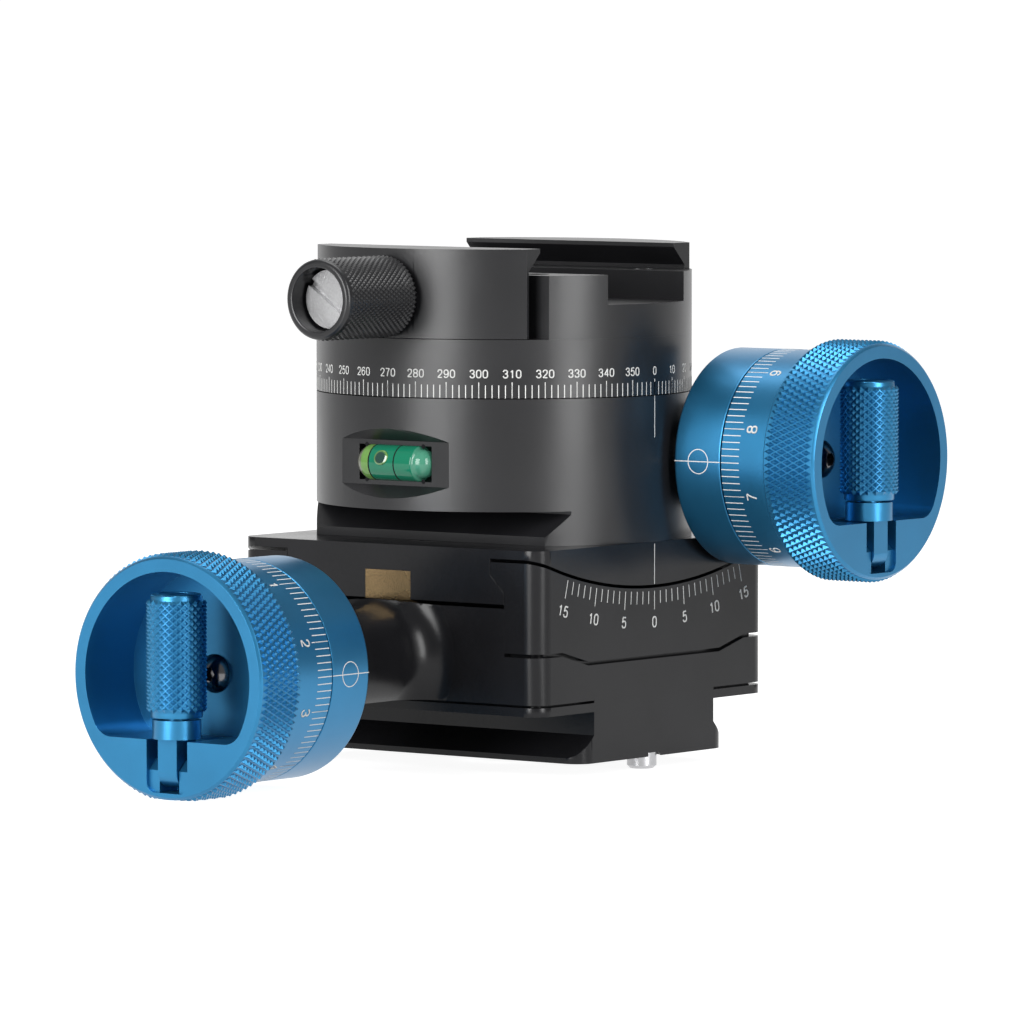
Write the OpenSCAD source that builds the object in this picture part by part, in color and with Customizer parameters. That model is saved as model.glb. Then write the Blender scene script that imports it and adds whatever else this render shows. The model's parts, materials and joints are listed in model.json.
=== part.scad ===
// Geared pan and tilt head: a dovetail foot, an arc-guided tilt stage driven by a worm,
// a worm-driven pan stage with a graduated ring, and a quick-release plate clamp on top.
// Millimetres. X right, Y back, Z up. The origin lies on the pan axis at the foot's underside.

/* [Dovetail foot] */
// Side of the square foot plate, base block and cradle, and diameter of the round pan stage
block_w = 60; // [56:1:70]
// Corner radius of the square blocks
block_corner = 3; // [1:0.5:5]
// Width across the lips of the dovetail
foot_lip_w = 38.6; // [36:0.2:42]
// Height of the dovetail lip
foot_lip_h = 0.9; // [0.5:0.1:1.5]
// Run and rise of the 45 degree dovetail flank
foot_flank = 3.5; // [2.5:0.1:4]
// Height of the neck between flank and plate
foot_neck_h = 3.7; // [3:0.1:6]
// Thickness of the square plate above the neck
foot_plate_t = 1.8; // [1.5:0.1:4]
// Diameter of the steel stop pins
stop_pin_d = 4.7; // [3:0.1:6]
// How far the stop pins stand below the foot
stop_pin_out = 2; // [1:0.1:3]
// Distance of each stop pin from the end of the foot
stop_pin_inset = 2.5; // [2.4:0.1:6]
// Thread diameter of the tripod bushing
tripod_thread_d = 9.5; // [6:0.1:10]
// Outside diameter of the tripod bushing
tripod_bushing_d = 14; // [12:0.5:18]

/* [Tilt stage] */
// Height of the base block from the foot to the arc gap at mid span
arc_mid_h = 17.3; // [17:0.1:19]
// Radius of the arc under the cradle
tilt_arc_r = 86.4; // [80:0.2:95]
// Open gap between the guide plate's arc and the cradle
arc_gap = 0.5; // [0.3:0.1:1]
// Half width of the narrow neck of the cradle's tongue
tongue_neck_half = 20.3; // [18:0.1:21]
// Half width of the wide foot of the cradle's tongue
tongue_foot_half = 23; // [22:0.1:25]
// Radial depth of the tongue's neck
tongue_neck_d = 2.4; // [1.5:0.1:3]
// Radial depth of the tongue's flank
tongue_flank_d = 2.5; // [2:0.1:3]
// Radial depth of the tongue's foot
tongue_foot_d = 1.8; // [1.2:0.1:2.5]
// Open room under the tongue's foot
tongue_room = 0.6; // [0.2:0.1:0.8]
// Running clearance of the tongue in its guides
slide_gap = 0.1; // [0.05:0.01:0.2]
// Thickness of the cradle at mid span, from the arc to its top face
cradle_mid_t = 6.8; // [6:0.1:10]
// Height of the ends of the base block's front shelf
shelf_end_h = 7.4; // [7:0.1:9]
// How much lower the middle of that shelf is
shelf_drop = 1.8; // [1:0.1:2.5]
// Half width of the low middle of the shelf
shelf_mid_half = 17.3; // [12:0.1:20]
// Run of the slope between the shelf's middle and its ends
shelf_slope = 6.7; // [4:0.1:7]
// Height of the open seam under the guide plates
plate_seam_h = 0.6; // [0.3:0.1:1]
// Height of the open seam between the foot plate and the base block
foot_seam_h = 0.4; // [0.2:0.1:0.6]
// Depth of the open seams
seam_d = 1.5; // [1:0.1:2]

/* [Tilt drive] */
// Height of the tilt worm above the foot plate's top face
tilt_worm_h = 6.5; // [6:0.1:7]
// Teeth on a full circle of the tilt sector
tilt_teeth = 180; // [150:10:200]
// How far the sector's tooth tips stand below the tongue
sector_out = 0.3; // [0.2:0.1:0.5]
// Radial thickness of the brass sector from its back to the tongue's underside
sector_t = 4.2; // [3.5:0.1:5]
// Width of the brass sector
sector_w = 9; // [7:0.5:12]
// Length of the tilt worm's thread
tilt_worm_len = 20; // [14:1:24]
// Distance of the tilt index ring from the block's side
tilt_standoff = 26.2; // [25:0.1:32]
// Radius of the tilt worm's bore in the block
tilt_bore_r = 5.6; // [5.4:0.1:5.8]

/* [Pan stage] */
// Height of the pan base
pan_base_h = 23.1; // [22:0.1:26]
// Height of the pan base's dovetail lip
pan_lip_h = 1.4; // [0.8:0.1:1.6]
// Height of the pan base's upright neck above its dovetail flank
pan_neck_h = 0.5; // [0.2:0.1:1]
// Height of the graduated pan ring
pan_ring_h = 9.3; // [8:0.1:12]
// Gap between the pan base and the pan ring
pan_ring_gap = 0.15; // [0.1:0.05:0.3]
// Depth of the pan worm below the pan base's top face
pan_worm_drop = 10.4; // [10.1:0.1:11.1]
// Distance between the pan axis and the pan worm
pan_centres = 21; // [20:0.1:21.5]
// Teeth on the pan worm wheel
pan_teeth = 72; // [60:6:90]
// Pitch radius of the pan worm
pan_worm_r = 3.6; // [3.4:0.1:3.9]
// Length of the pan worm's thread
pan_worm_len = 9; // [8:1:13]
// Width of the pan worm wheel
pan_wheel_w = 4; // [3:0.5:5]
// Gap between the pan base's round and the back of the pan index ring
pan_standoff = 0.9; // [0.8:0.1:3]
// Radius of the pan spindle
spindle_r = 7; // [5:0.5:8]

/* [Level] */
// Diameter of the spirit level vial
vial_d = 5.7; // [4:0.1:6]
// Length of the spirit level vial
vial_len = 14.3; // [12:0.1:16]
// Depth of the vial's axis below the level's flat
vial_sink = 0.6; // [0.3:0.1:1.6]
// Depth of the level's flat below the round of the pan base
level_flat_d = 1.95; // [1.6:0.05:2.5]
// Width of the level's flat
level_flat_w = 21.3; // [18:0.1:22]
// Height of the level's flat
level_flat_h = 7.1; // [6.5:0.1:8.5]

/* [Clamp] */
// Height of the clamp bed above the pan ring
clamp_bed_h = 10; // [9:0.1:14]
// Height of the clamp jaws above the bed
clamp_jaw_h = 4.15; // [3.8:0.05:5]
// Depth of the fixed jaw, from the round's edge to its lip
fixed_jaw_d = 12.8; // [12:0.1:14]
// Depth of the movable jaw at rest, from the round's edge to its lip
moving_jaw_d = 12; // [11:0.1:13]
// Undercut of the jaws below their lips
jaw_undercut = 2.9; // [2:0.1:3]
// Distance from the round's edge to the clamp body's side under the movable jaw
clamp_side_d = 11.2; // [11:0.1:12.5]
// Half length of the jaws along the slot
jaw_half_len = 21; // [18:0.5:21]
// Width of the channel along the bed
channel_w = 20; // [12:1:24]
// Depth of the channel along the bed
channel_d = 4.7; // [3:0.1:5.5]
// Height of the clamp screw above the pan ring
clamp_screw_h = 6.6; // [6.6:0.1:8]
// Diameter of the clamp screw's thread
clamp_screw_d = 5; // [4:0.5:6]
// Diameter of the clamp knob
clamp_knob_d = 12.6; // [11:0.1:14]
// Length of the clamp knob
clamp_knob_len = 14.9; // [12:0.1:20]

/* [Drive knobs] */
// Radius of the knurled rim
rim_r = 18.65; // [18.2:0.05:19.5]
// Length of the knurled rim
rim_len = 9.9; // [8.5:0.1:12]
// Radius of the graduated barrel and the index ring
barrel_r = 17.3; // [17:0.1:18]
// Length of the graduated barrel
barrel_len = 8.8; // [8:0.1:14]
// Length of the index ring
index_len = 9.1; // [8:0.1:12]
// Gap between the index ring and the barrel
knob_gap = 0.3; // [0.2:0.1:0.6]
// Radius of the D-shaped pocket in the knob's face
pocket_r = 16.3; // [16:0.1:16.6]
// Distance from the knob's centre to the flat side of the pocket
pocket_chord = 9.5; // [9:0.1:9.8]
// Corner radius of the pocket
pocket_corner = 3.6; // [2:0.1:5]
// Depth of the pocket
pocket_depth = 11.6; // [11.5:0.1:12]
// Radius of the worm boss that carries the index ring
boss_r = 8.3; // [7.6:0.1:9]
// Length of the boss inside the index ring
boss_in = 5; // [3:0.1:6]
// Diameter of the worm shafts
shaft_d = 5; // [4:0.1:5]

/* [Folding cranks] */
// Distance from the knob's centre to the crank's hinge
hinge_drop = 14.5; // [14.4:0.1:14.8]
// Depth of the hinge and the grip's axis behind the knob's face
hinge_depth = 2.4; // [2.3:0.1:2.8]
// Diameter of the hinge pin
hinge_pin_d = 2; // [1.5:0.1:2.4]
// Width of the hinge slot in the knob's face
hinge_slot_w = 8.1; // [7.8:0.1:9]
// Thickness of the crank arm
arm_t = 3.7; // [3:0.1:4]
// Depth of the crank arm
arm_d = 4.6; // [4:0.1:4.7]
// Diameter of the crank's collar
collar_d = 7.5; // [6.5:0.1:8]
// Length of the crank's collar
collar_len = 2.9; // [2:0.1:3.5]
// Diameter of the knurled grip
grip_d = 8.7; // [8:0.1:9.3]
// Length of the knurled grip
grip_len = 19; // [15:0.1:20]

/* [Fits] */
// Radial gap of fixed round fits
fit_gap = 0.02; // [0.01:0.01:0.04]
// Radial gap of turning fits
run_gap = 0.05; // [0.02:0.01:0.08]

/* [Hidden] */
$fn = 96;
far = 200;
black = "#1b1c1e";
blue = "#1c6ea4";
steel = "#b9bcc0";
dark_steel = "#3a3c40";
brass = "#b08d3c";
bronze = "#9a7040";

// Levels of the stack
foot_h = foot_lip_h + foot_flank + foot_neck_h + foot_plate_t;
foot_neck_w = foot_lip_w - 2 * foot_flank;
arc_mid_z = foot_h + arc_mid_h;
tilt_axis_z = arc_mid_z + tilt_arc_r;
cradle_top = arc_mid_z + cradle_mid_t;
pan_base_top = cradle_top + pan_base_h;
pan_ring_z = pan_base_top + pan_ring_gap;
pan_ring_top = pan_base_top + pan_ring_h;
bed_z = pan_ring_top + clamp_bed_h;
clamp_top = bed_z + clamp_jaw_h;
half = block_w / 2;
pan_r = half;

// Tongue radii about the tilt axis
neck_end_r = tilt_arc_r + tongue_neck_d;
flank_end_r = neck_end_r + tongue_flank_d;
tongue_r = flank_end_r + tongue_foot_d;
guide_r = tongue_r + tongue_room;
guide_neck_half = tongue_neck_half + slide_gap;
guide_foot_half = tongue_foot_half + slide_gap;

// Tilt gearing
flank_angle = 20;
backlash = 0.22;
tip_gap = 0.25;
tilt_worm_z = foot_h + tilt_worm_h;
tilt_centres = tilt_axis_z - tilt_worm_z;
sector_tip_r = tongue_r + sector_out;
sector_add = 0.8;
sector_pitch_r = sector_tip_r - sector_add;
sector_back_r = tongue_r - sector_t;
tilt_pitch = 2 * PI * sector_pitch_r / tilt_teeth;
tilt_worm_r = tilt_centres - sector_pitch_r;

// Pan gearing
pan_worm_z = pan_base_top - pan_worm_drop;
wheel_pitch_r = pan_centres - pan_worm_r;
wheel_add = 0.4;
pan_pitch = 2 * PI * wheel_pitch_r / pan_teeth;
pan_backlash = 0.1;
pan_tip_gap = 0.12;

// Drive knobs, in their own frame: axis +Z outwards, Z = 0 at the back of the barrel
knob_front = barrel_len + rim_len;
hinge_z = knob_front - hinge_depth;
shaft_r = shaft_d / 2;
shoulder_r = shaft_r + 0.8;
shaft_in = 5;
index_back = -knob_gap - index_len;
boss_end = index_back + boss_in;
tilt_knob_x = -half - tilt_standoff + index_back;
pan_knob_y = -pan_r - pan_standoff + index_back;
bush_len = 8;
far_bush_len = 5;
pan_far_bush_len = 3.5;
worm_cheek = 0.2;
slot_end = 17.6;
slot_depth = 9.5;
chamfer = 0.4;

// Bores inside the pan base
wheel_room_r = wheel_pitch_r + wheel_add + 0.8;
base_floor_t = 6;
wheel_room_floor = cradle_top + base_floor_t;
bearing_seat_r = wheel_room_r + 3.5;
bearing_t = 6;
pan_bore_r = pan_worm_r + wheel_add + 0.25;
pilot_r = 4;
pilot_bush_wall = 2;
pilot_bush_r = pilot_r + pilot_bush_wall;
pilot_bush_floor = 1;

// Screws
foot_screw_xy = [10, 17];
plate_screw_x = 21;
plate_screw_y = (half + guide_foot_half) / 2;
sector_screw_x = 20;
base_screw_xy = [13, 12];
clamp_screw_in = 7.7;
clamp_screw_ring_r = pan_r - clamp_screw_in;
clamp_screw_angles = [49.5, 130.5, 229.5, 310.5];

// Clamp
fixed_lip_x = pan_r - fixed_jaw_d;
moving_lip_x = pan_r - moving_jaw_d;
clamp_side_x = pan_r - clamp_side_d;
fixed_wall_x = fixed_lip_x + jaw_undercut;
moving_wall_x = moving_lip_x + jaw_undercut;
lip_h = 0.65;
jaw_gap = 0.1;
clamp_screw_z = pan_ring_top + clamp_screw_h;
clamp_screw_r = clamp_screw_d / 2;
clamp_neck_len = 3.2;
clamp_neck_r = 4.6;
spot_x = pan_r - 0.5;
knob_back_x = spot_x + clamp_neck_len + run_gap;
cup_r = 5;
cup_depth = 3;
guide_pin_r = 1.5;
guide_pin_y = 10;
guide_pin_h = 4.6;
guide_pin_z = pan_ring_top + guide_pin_h;
guide_pin_in = 8;
guide_pin_out = 4.4;
guide_pin_room = 1.8;
spring_r = 2.5;
spring_room = 6.5;

// Square block with rounded upright edges
module block(z0, z1, w = block_w, d = block_w, r = block_corner) {
    translate([0, 0, z0]) linear_extrude(z1 - z0) rounded_square(w, d, r);
}

// The part of such a block that lies inside the open seams
module inner_block(z0, z1) {
    block(z0, z1, block_w - 2 * seam_d, block_w - 2 * seam_d, max(block_corner - seam_d, 0.2));
}

module rounded_square(w, d, r) {
    square([w - 2 * r, d], center = true);
    square([w, d - 2 * r], center = true);
    for (x = [-1, 1], y = [-1, 1])
        translate([x * (w / 2 - r), y * (d / 2 - r)]) circle(r);
}

// Turns a profile of radius and half width about the tilt axis
module about_tilt_axis(profile) {
    mirrored = [for (i = [len(profile) - 1 : -1 : 0]) [profile[i][0], -profile[i][1]]];
    translate([0, 0, tilt_axis_z]) rotate([90, 0, 0])
        rotate_extrude() polygon(concat(profile, mirrored));
}

// Extrudes an X, Z outline along Y between two places
module along_y(y0, y1) {
    translate([0, y1, 0]) rotate([90, 0, 0]) linear_extrude(y1 - y0) children();
}

// A round bar along X between two places
module rod_x(x0, x1, r, y = 0, z = 0) {
    translate([x0, y, z]) rotate([0, 90, 0]) cylinder(h = x1 - x0, r = r);
}

// A socket head screw, head down at Z = 0, with its shank upwards
module cap_screw(head_r, head_h, shank_r, shank_len) {
    difference() {
        union() {
            cylinder(h = head_h, r = head_r);
            cylinder(h = head_h + shank_len, r = shank_r);
        }
        translate([0, 0, -1]) cylinder(h = 1 + head_h * 0.6, r = head_r * 0.55, $fn = 6);
    }
}

// The hole for such a screw
module screw_hole(head_r, head_h, shank_r, shank_len) {
    translate([0, 0, -far]) cylinder(h = far + head_h, r = head_r + fit_gap);
    cylinder(h = head_h + shank_len, r = shank_r + fit_gap);
}

module at_corners(xy) {
    for (x = [-1, 1], y = [-1, 1]) translate([x * xy[0], y * xy[1], 0]) children();
}

// Puts a knob-frame piece on the tilt worm's axis or the pan worm's axis
module on_tilt_axis() {
    translate([tilt_knob_x, 0, tilt_worm_z]) rotate([90, 0, -90]) children();
}

module on_pan_axis() {
    translate([pan_centres, pan_knob_y, pan_worm_z]) rotate([90, 0, 0]) children();
}

tilt_reach = -tilt_knob_x;
pan_reach = -pan_knob_y;

// Fixed base

foot_screw = [3.4, 3, 1.9, 13];

module foot_outline() {
    lip = foot_lip_w / 2;
    neck = foot_neck_w / 2;
    flank_top = foot_lip_h + foot_flank;
    polygon([
        [-lip, 0], [lip, 0], [lip, foot_lip_h], [neck, flank_top], [neck, foot_h],
        [-neck, foot_h], [-neck, flank_top], [-lip, foot_lip_h]
    ]);
}

module dovetail_plate() {
    color(black) difference() {
        union() {
            intersection() {
                along_y(-half, half) foot_outline();
                block(0, foot_h, foot_lip_w, block_w, block_corner);
            }
            block(foot_h - foot_plate_t, foot_h - foot_seam_h);
            inner_block(foot_h - foot_plate_t, foot_h);
        }
        translate([0, 0, -1])
            cylinder(h = foot_h + 2, r = tripod_bushing_d / 2 + fit_gap);
        at_corners(foot_screw_xy)
            translate([0, 0, 1]) screw_hole(foot_screw[0], foot_screw[1], foot_screw[2], far);
        for (y = [-1, 1]) translate([0, y * (half - stop_pin_inset), 0]) {
            translate([0, 0, -1]) cylinder(h = foot_h - 0.9, r = stop_pin_d / 2 + fit_gap);
            translate([0, 0, -1]) cylinder(h = 1.6, r = stop_pin_d / 2 + 0.6);
        }
    }
}

module tripod_bushing() {
    color(steel) difference() {
        cylinder(h = foot_h, r = tripod_bushing_d / 2);
        translate([0, 0, -1]) cylinder(h = foot_h, r = tripod_thread_d / 2);
    }
}

module stop_pins() {
    color(steel) for (y = [-1, 1]) translate([0, y * (half - stop_pin_inset), 0])
        rotate_extrude() polygon([
            [0, -stop_pin_out], [stop_pin_d / 2 - 0.5, -stop_pin_out],
            [stop_pin_d / 2, -stop_pin_out + 0.5], [stop_pin_d / 2, foot_h - 1.9], [0, foot_h - 1.9]
        ]);
}

module foot_screws() {
    color(dark_steel) at_corners(foot_screw_xy)
        translate([0, 0, 1]) cap_screw(foot_screw[0], foot_screw[1], foot_screw[2], foot_screw[3]);
}

// Top of the base block's front and rear shelves, as an X, Z outline from the foot up
module shelf_outline() {
    end_z = foot_h + shelf_end_h;
    mid_z = end_z - shelf_drop;
    ramp = shelf_mid_half + shelf_slope;
    polygon([
        [-half, foot_h], [half, foot_h], [half, end_z], [ramp, end_z], [shelf_mid_half, mid_z],
        [-shelf_mid_half, mid_z], [-ramp, end_z], [-half, end_z]
    ]);
}

plate_screw = [2.6, 2.6, 1.5, 11];

module base_block() {
    flare_r = 5;
    color(black) difference() {
        union() {
            intersection() {
                along_y(-half, half) shelf_outline();
                block(foot_h, tilt_axis_z);
            }
            translate([-half, -guide_foot_half, foot_h])
                cube([block_w, 2 * guide_foot_half, arc_mid_h]);
            on_tilt_axis() translate([0, 0, -tilt_reach])
                cylinder(h = tilt_reach + boss_end, r = boss_r);
            intersection() {
                on_tilt_axis() translate([0, 0, -tilt_reach]) rotate_extrude() difference() {
                    square([boss_r + flare_r, half + flare_r]);
                    translate([boss_r + flare_r, half + flare_r]) circle(flare_r);
                }
                translate([-far, -far, foot_h]) cube([far, 2 * far, tongue_r]);
            }
        }
        translate([0, 0, tilt_axis_z]) rotate([90, 0, 0])
            cylinder(h = far, r = guide_r, center = true);
        translate([0, 0, tilt_axis_z]) rotate([90, 0, 0])
            cylinder(h = sector_w + 1, r = sector_tip_r + 0.4, center = true);
        rod_x(-far, far, tilt_bore_r, 0, tilt_worm_z);
        translate([0, 0, -far / 2]) cube([far, far, far + 2 * foot_h], center = true);
        at_corners(foot_screw_xy) translate([0, 0, 1])
            cylinder(h = foot_screw[1] + foot_screw[3], r = foot_screw[2] + fit_gap);
        at_corners([plate_screw_x, plate_screw_y]) translate([0, 0, foot_h])
            screw_hole(plate_screw[0], plate_screw[1], plate_screw[2], plate_screw[3]);
    }
}

// Guide plate on the front side
module guide_plate() {
    color(black) difference() {
        intersection() {
            translate([-half, -half, foot_h]) cube([block_w, half - guide_neck_half, far]);
            block(foot_h, cradle_top + half);
        }
        along_y(-far, far) shelf_outline();
        difference() {
            translate([0, 0, plate_seam_h]) along_y(-far, far) shelf_outline();
            inner_block(0, far);
        }
        about_tilt_axis([
            [0, far], [tilt_arc_r + arc_gap, far], [tilt_arc_r + arc_gap, guide_neck_half],
            [neck_end_r, guide_neck_half], [flank_end_r, guide_foot_half],
            [tilt_axis_z, guide_foot_half]
        ]);
        at_corners([plate_screw_x, plate_screw_y]) translate([0, 0, foot_h])
            cylinder(h = plate_screw[1] + plate_screw[3], r = plate_screw[2] + fit_gap);
    }
}

module front_scale_plate() guide_plate();

module rear_guide_plate() mirror([0, 1, 0]) guide_plate();

module guide_plate_screws() {
    color(dark_steel) at_corners([plate_screw_x, plate_screw_y]) translate([0, 0, foot_h])
        cap_screw(plate_screw[0], plate_screw[1], plate_screw[2], plate_screw[3]);
}

// Bush in a worm bore, from z0 to z1 in the knob frame
module bush(z0, z1, r) {
    translate([0, 0, z0]) difference() {
        cylinder(h = z1 - z0, r = r - fit_gap);
        translate([0, 0, -1]) cylinder(h = z1 - z0 + 2, r = shaft_r + run_gap);
    }
}

tilt_bush_in = boss_end - bush_len;
end_cap_t = 5.2;
end_cap_gap = 0.3;
end_slot_w = 1.4;
end_slot_d = 3;
tilt_far_bush = end_cap_t + end_cap_gap - half - tilt_reach;

module tilt_worm_bushes() {
    color(bronze) on_tilt_axis() {
        bush(tilt_bush_in, boss_end, tilt_bore_r);
        bush(tilt_far_bush, tilt_far_bush + far_bush_len, tilt_bore_r);
    }
}

module tilt_worm_end_cap() {
    color(black) translate([half - end_cap_t, 0, tilt_worm_z]) rotate([0, 90, 0]) difference() {
        cylinder(h = end_cap_t, r = tilt_bore_r - fit_gap);
        translate([0, 0, end_cap_t])
            cube([end_slot_w, 4 * tilt_bore_r, 2 * end_slot_d], center = true);
    }
}

// Index ring that stays with the boss, in the knob frame
module index_ring() {
    color(blue) difference() {
        rotate_extrude() polygon([
            [0, index_back], [barrel_r - chamfer, index_back], [barrel_r, index_back + chamfer],
            [barrel_r, -knob_gap], [0, -knob_gap]
        ]);
        translate([0, 0, index_back - 1]) cylinder(h = boss_in + 1, r = boss_r + fit_gap);
        translate([0, 0, index_back - 1]) cylinder(h = index_len + 2, r = shaft_r + 0.5);
    }
}

module tilt_index_ring() on_tilt_axis() index_ring();

// Worm drive

// Single-start right-hand worm thread about Z, centred on Z = 0, with a tooth facing the gear
module worm_thread(length, pitch, pitch_r, add, root_gap, gear_angle) {
    steps = 16;
    layers_per_turn = 10;
    tip_r = pitch_r + add;
    root_r = pitch_r - add - root_gap;
    function side(a) = abs(a > 180 ? a - 360 : a) / 360 * pitch;
    function thread_r(a) =
        max(root_r, min(tip_r, pitch_r + (pitch / 4 - side(a)) / tan(flank_angle)));
    outline = [for (i = [0 : steps - 1]) let (a = i * 360 / steps)
        thread_r(a) * [cos(a), sin(a)]];
    turns = length / pitch;
    rotate(gear_angle - 180 * turns) difference() {
        linear_extrude(length, center = true, twist = -360 * turns,
                       slices = ceil(turns * layers_per_turn), $fn = steps)
            polygon(outline);
        cylinder(h = 2 * length, r = shaft_r + fit_gap, center = true);
    }
}

// Worm shaft in the knob frame, with shoulders between its bushes and the worm
module worm_shaft(reach, worm_len, near_bush, far_bush, far_len) {
    worm_end = worm_len / 2 + worm_cheek;
    color(steel) difference() {
        union() {
            translate([0, 0, far_bush]) cylinder(h = shaft_in - far_bush, r = shaft_r);
            translate([0, 0, -reach + worm_end])
                cylinder(h = near_bush - worm_cheek + reach - worm_end, r = shoulder_r);
            translate([0, 0, far_bush + far_len + worm_cheek])
                cylinder(h = -reach - worm_end - far_bush - far_len - worm_cheek, r = shoulder_r);
        }
        translate([0, 0, shaft_in - knob_thread_d])
            cylinder(h = knob_thread_d + 1, r = knob_screw_r + fit_gap);
    }
}

knob_thread_d = 4;
knob_screw_r = 1.5;
knob_screw_head_r = 3;
knob_screw_head_h = 1.8;

module tilt_worm_shaft() {
    on_tilt_axis() worm_shaft(tilt_reach, tilt_worm_len, tilt_bush_in, tilt_far_bush, far_bush_len);
}

module tilt_worm() {
    color(steel) on_tilt_axis() translate([0, 0, -tilt_reach])
        worm_thread(tilt_worm_len, tilt_pitch, tilt_worm_r, sector_add, tip_gap, 90);
}

// Knob with its D-shaped pocket and hinge slot
module pocket_outline() {
    corner_y = pocket_corner - pocket_chord;
    corner_x = sqrt(pow(pocket_r - pocket_corner, 2) - pow(corner_y, 2));
    reach = 3;
    intersection() {
        circle(pocket_r);
        polygon([
            [0, 0], reach * [corner_x, corner_y], [reach * corner_x, reach * pocket_r],
            [-reach * corner_x, reach * pocket_r], reach * [-corner_x, corner_y]
        ]);
    }
    polygon([
        [0, pocket_corner], [corner_x, corner_y], [corner_x, -pocket_chord],
        [-corner_x, -pocket_chord], [-corner_x, corner_y]
    ]);
    for (x = [-1, 1]) translate([x * corner_x, corner_y]) circle(pocket_corner);
}

module slot_outline(w, end) {
    round_r = 1.6;
    translate([-w / 2, -end + round_r]) square([w, end - round_r - pocket_chord + 1]);
    translate([-w / 2 + round_r, -end]) square([w - 2 * round_r, end - pocket_chord]);
    for (x = [-1, 1]) translate([x * (w / 2 - round_r), -end + round_r]) circle(round_r);
}

pin_half = hinge_slot_w / 2 + 2.5;

module knob() {
    color(blue) difference() {
        rotate_extrude() polygon([
            [0, 0], [barrel_r, 0], [barrel_r, barrel_len], [rim_r - chamfer, barrel_len],
            [rim_r, barrel_len + chamfer], [rim_r, knob_front - chamfer],
            [rim_r - chamfer, knob_front], [0, knob_front]
        ]);
        translate([0, 0, knob_front - pocket_depth]) linear_extrude(far) pocket_outline();
        translate([0, 0, knob_front - slot_depth])
            linear_extrude(far) slot_outline(hinge_slot_w, slot_end);
        translate([0, 0, -1]) cylinder(h = shaft_in + 1, r = shaft_r + fit_gap);
        cylinder(h = far, r = knob_screw_r + fit_gap);
        rod_x(-pin_half, pin_half, hinge_pin_d / 2 + fit_gap, -hinge_drop, hinge_z);
    }
}

module knob_screw() {
    floor_z = knob_front - pocket_depth;
    color(dark_steel) difference() {
        union() {
            translate([0, 0, shaft_in - 4 + 0.2])
                cylinder(h = floor_z - shaft_in + 4, r = knob_screw_r);
            translate([0, 0, floor_z]) intersection() {
                cylinder(h = knob_screw_head_h, r = knob_screw_head_r);
                translate([0, 0, knob_screw_head_h - knob_screw_head_r - 0.6])
                    sphere(knob_screw_head_r + 0.6);
            }
        }
        translate([0, 0, floor_z + 0.6]) cylinder(h = 4, r = 1.15, $fn = 6);
    }
}

// Fork that fills the hinge slot and carries the hinge pin
module clevis() {
    floor_z = knob_front - slot_depth;
    ear_y = hinge_drop - hinge_pin_d / 2 - 0.9;
    ear_top = knob_front - 0.6;
    ear_bevel = 1.6;
    web = hinge_z - arm_d / 2 - 0.15;
    color(blue) difference() {
        intersection() {
            translate([0, 0, floor_z])
                linear_extrude(ear_top - floor_z) slot_outline(hinge_slot_w, slot_end);
            translate([-far, -far, floor_z]) cube([2 * far, far - ear_y, far]);
        }
        translate([-arm_t / 2 - slide_gap, -far, web]) cube([arm_t + 2 * slide_gap, 2 * far, far]);
        rod_x(-far, far, hinge_pin_d / 2 + fit_gap, -hinge_drop, hinge_z);
        translate([-far, -ear_y, ear_top - ear_bevel]) rotate([45, 0, 0])
            cube([2 * far, far, far]);
    }
}

module hinge_pin() {
    color(steel) rod_x(-pin_half, pin_half, hinge_pin_d / 2, -hinge_drop, hinge_z);
}

collar_y = -pocket_chord + 0.2;
grip_y = collar_y + collar_len + 0.3;
grip_top = grip_y + grip_len;
spindle_pin_r = 2;
grip_recess = 1.3;
grip_thread_r = 0.8;
grip_thread_d = 5;
grip_thread_len = 4.5;
grip_screw_head_r = 2.8;

// A round bar along Y in the knob frame, on the crank's axis
module crank_bar(y0, y1, r) {
    translate([0, y0, hinge_z]) rotate([-90, 0, 0]) cylinder(h = y1 - y0, r = r);
}

module crank_arm() {
    color(blue) difference() {
        union() {
            rod_x(-arm_t / 2, arm_t / 2, arm_d / 2, -hinge_drop, hinge_z);
            translate([-arm_t / 2, -hinge_drop, hinge_z - arm_d / 2])
                cube([arm_t, hinge_drop + collar_y + 0.5, arm_d]);
            crank_bar(collar_y, collar_y + collar_len, collar_d / 2);
            crank_bar(collar_y, grip_top - grip_recess - run_gap, spindle_pin_r);
        }
        rod_x(-far, far, hinge_pin_d / 2 + run_gap, -hinge_drop, hinge_z);
        crank_bar(grip_top - grip_recess - grip_thread_d, far, grip_thread_r + fit_gap);
    }
}

module grip() {
    ring_len = 1;
    groove = 0.35;
    grip_r = grip_d / 2;
    color(blue) difference() {
        translate([0, grip_y, hinge_z]) rotate([-90, 0, 0]) rotate_extrude() polygon([
            [0, 0], [grip_r - groove, 0], [grip_r - groove, ring_len], [grip_r, ring_len + groove],
            [grip_r, grip_len - ring_len - groove], [grip_r - groove, grip_len - ring_len],
            [grip_r - groove, grip_len - 0.3], [grip_r - groove - 0.3, grip_len], [0, grip_len]
        ]);
        crank_bar(-far, far, spindle_pin_r + run_gap);
        crank_bar(grip_top - grip_recess, far, grip_screw_head_r + run_gap);
    }
}

module grip_screw() {
    head_y = grip_top - grip_recess;
    color(blue) difference() {
        union() {
            crank_bar(head_y - grip_thread_len, head_y, grip_thread_r);
            crank_bar(head_y + run_gap, grip_top - 0.1, grip_screw_head_r);
            crank_bar(head_y - run_gap, head_y + run_gap, spindle_pin_r);
        }
        translate([0, grip_top, hinge_z]) cube([0.9, 1, 4 * grip_d], center = true);
    }
}

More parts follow.
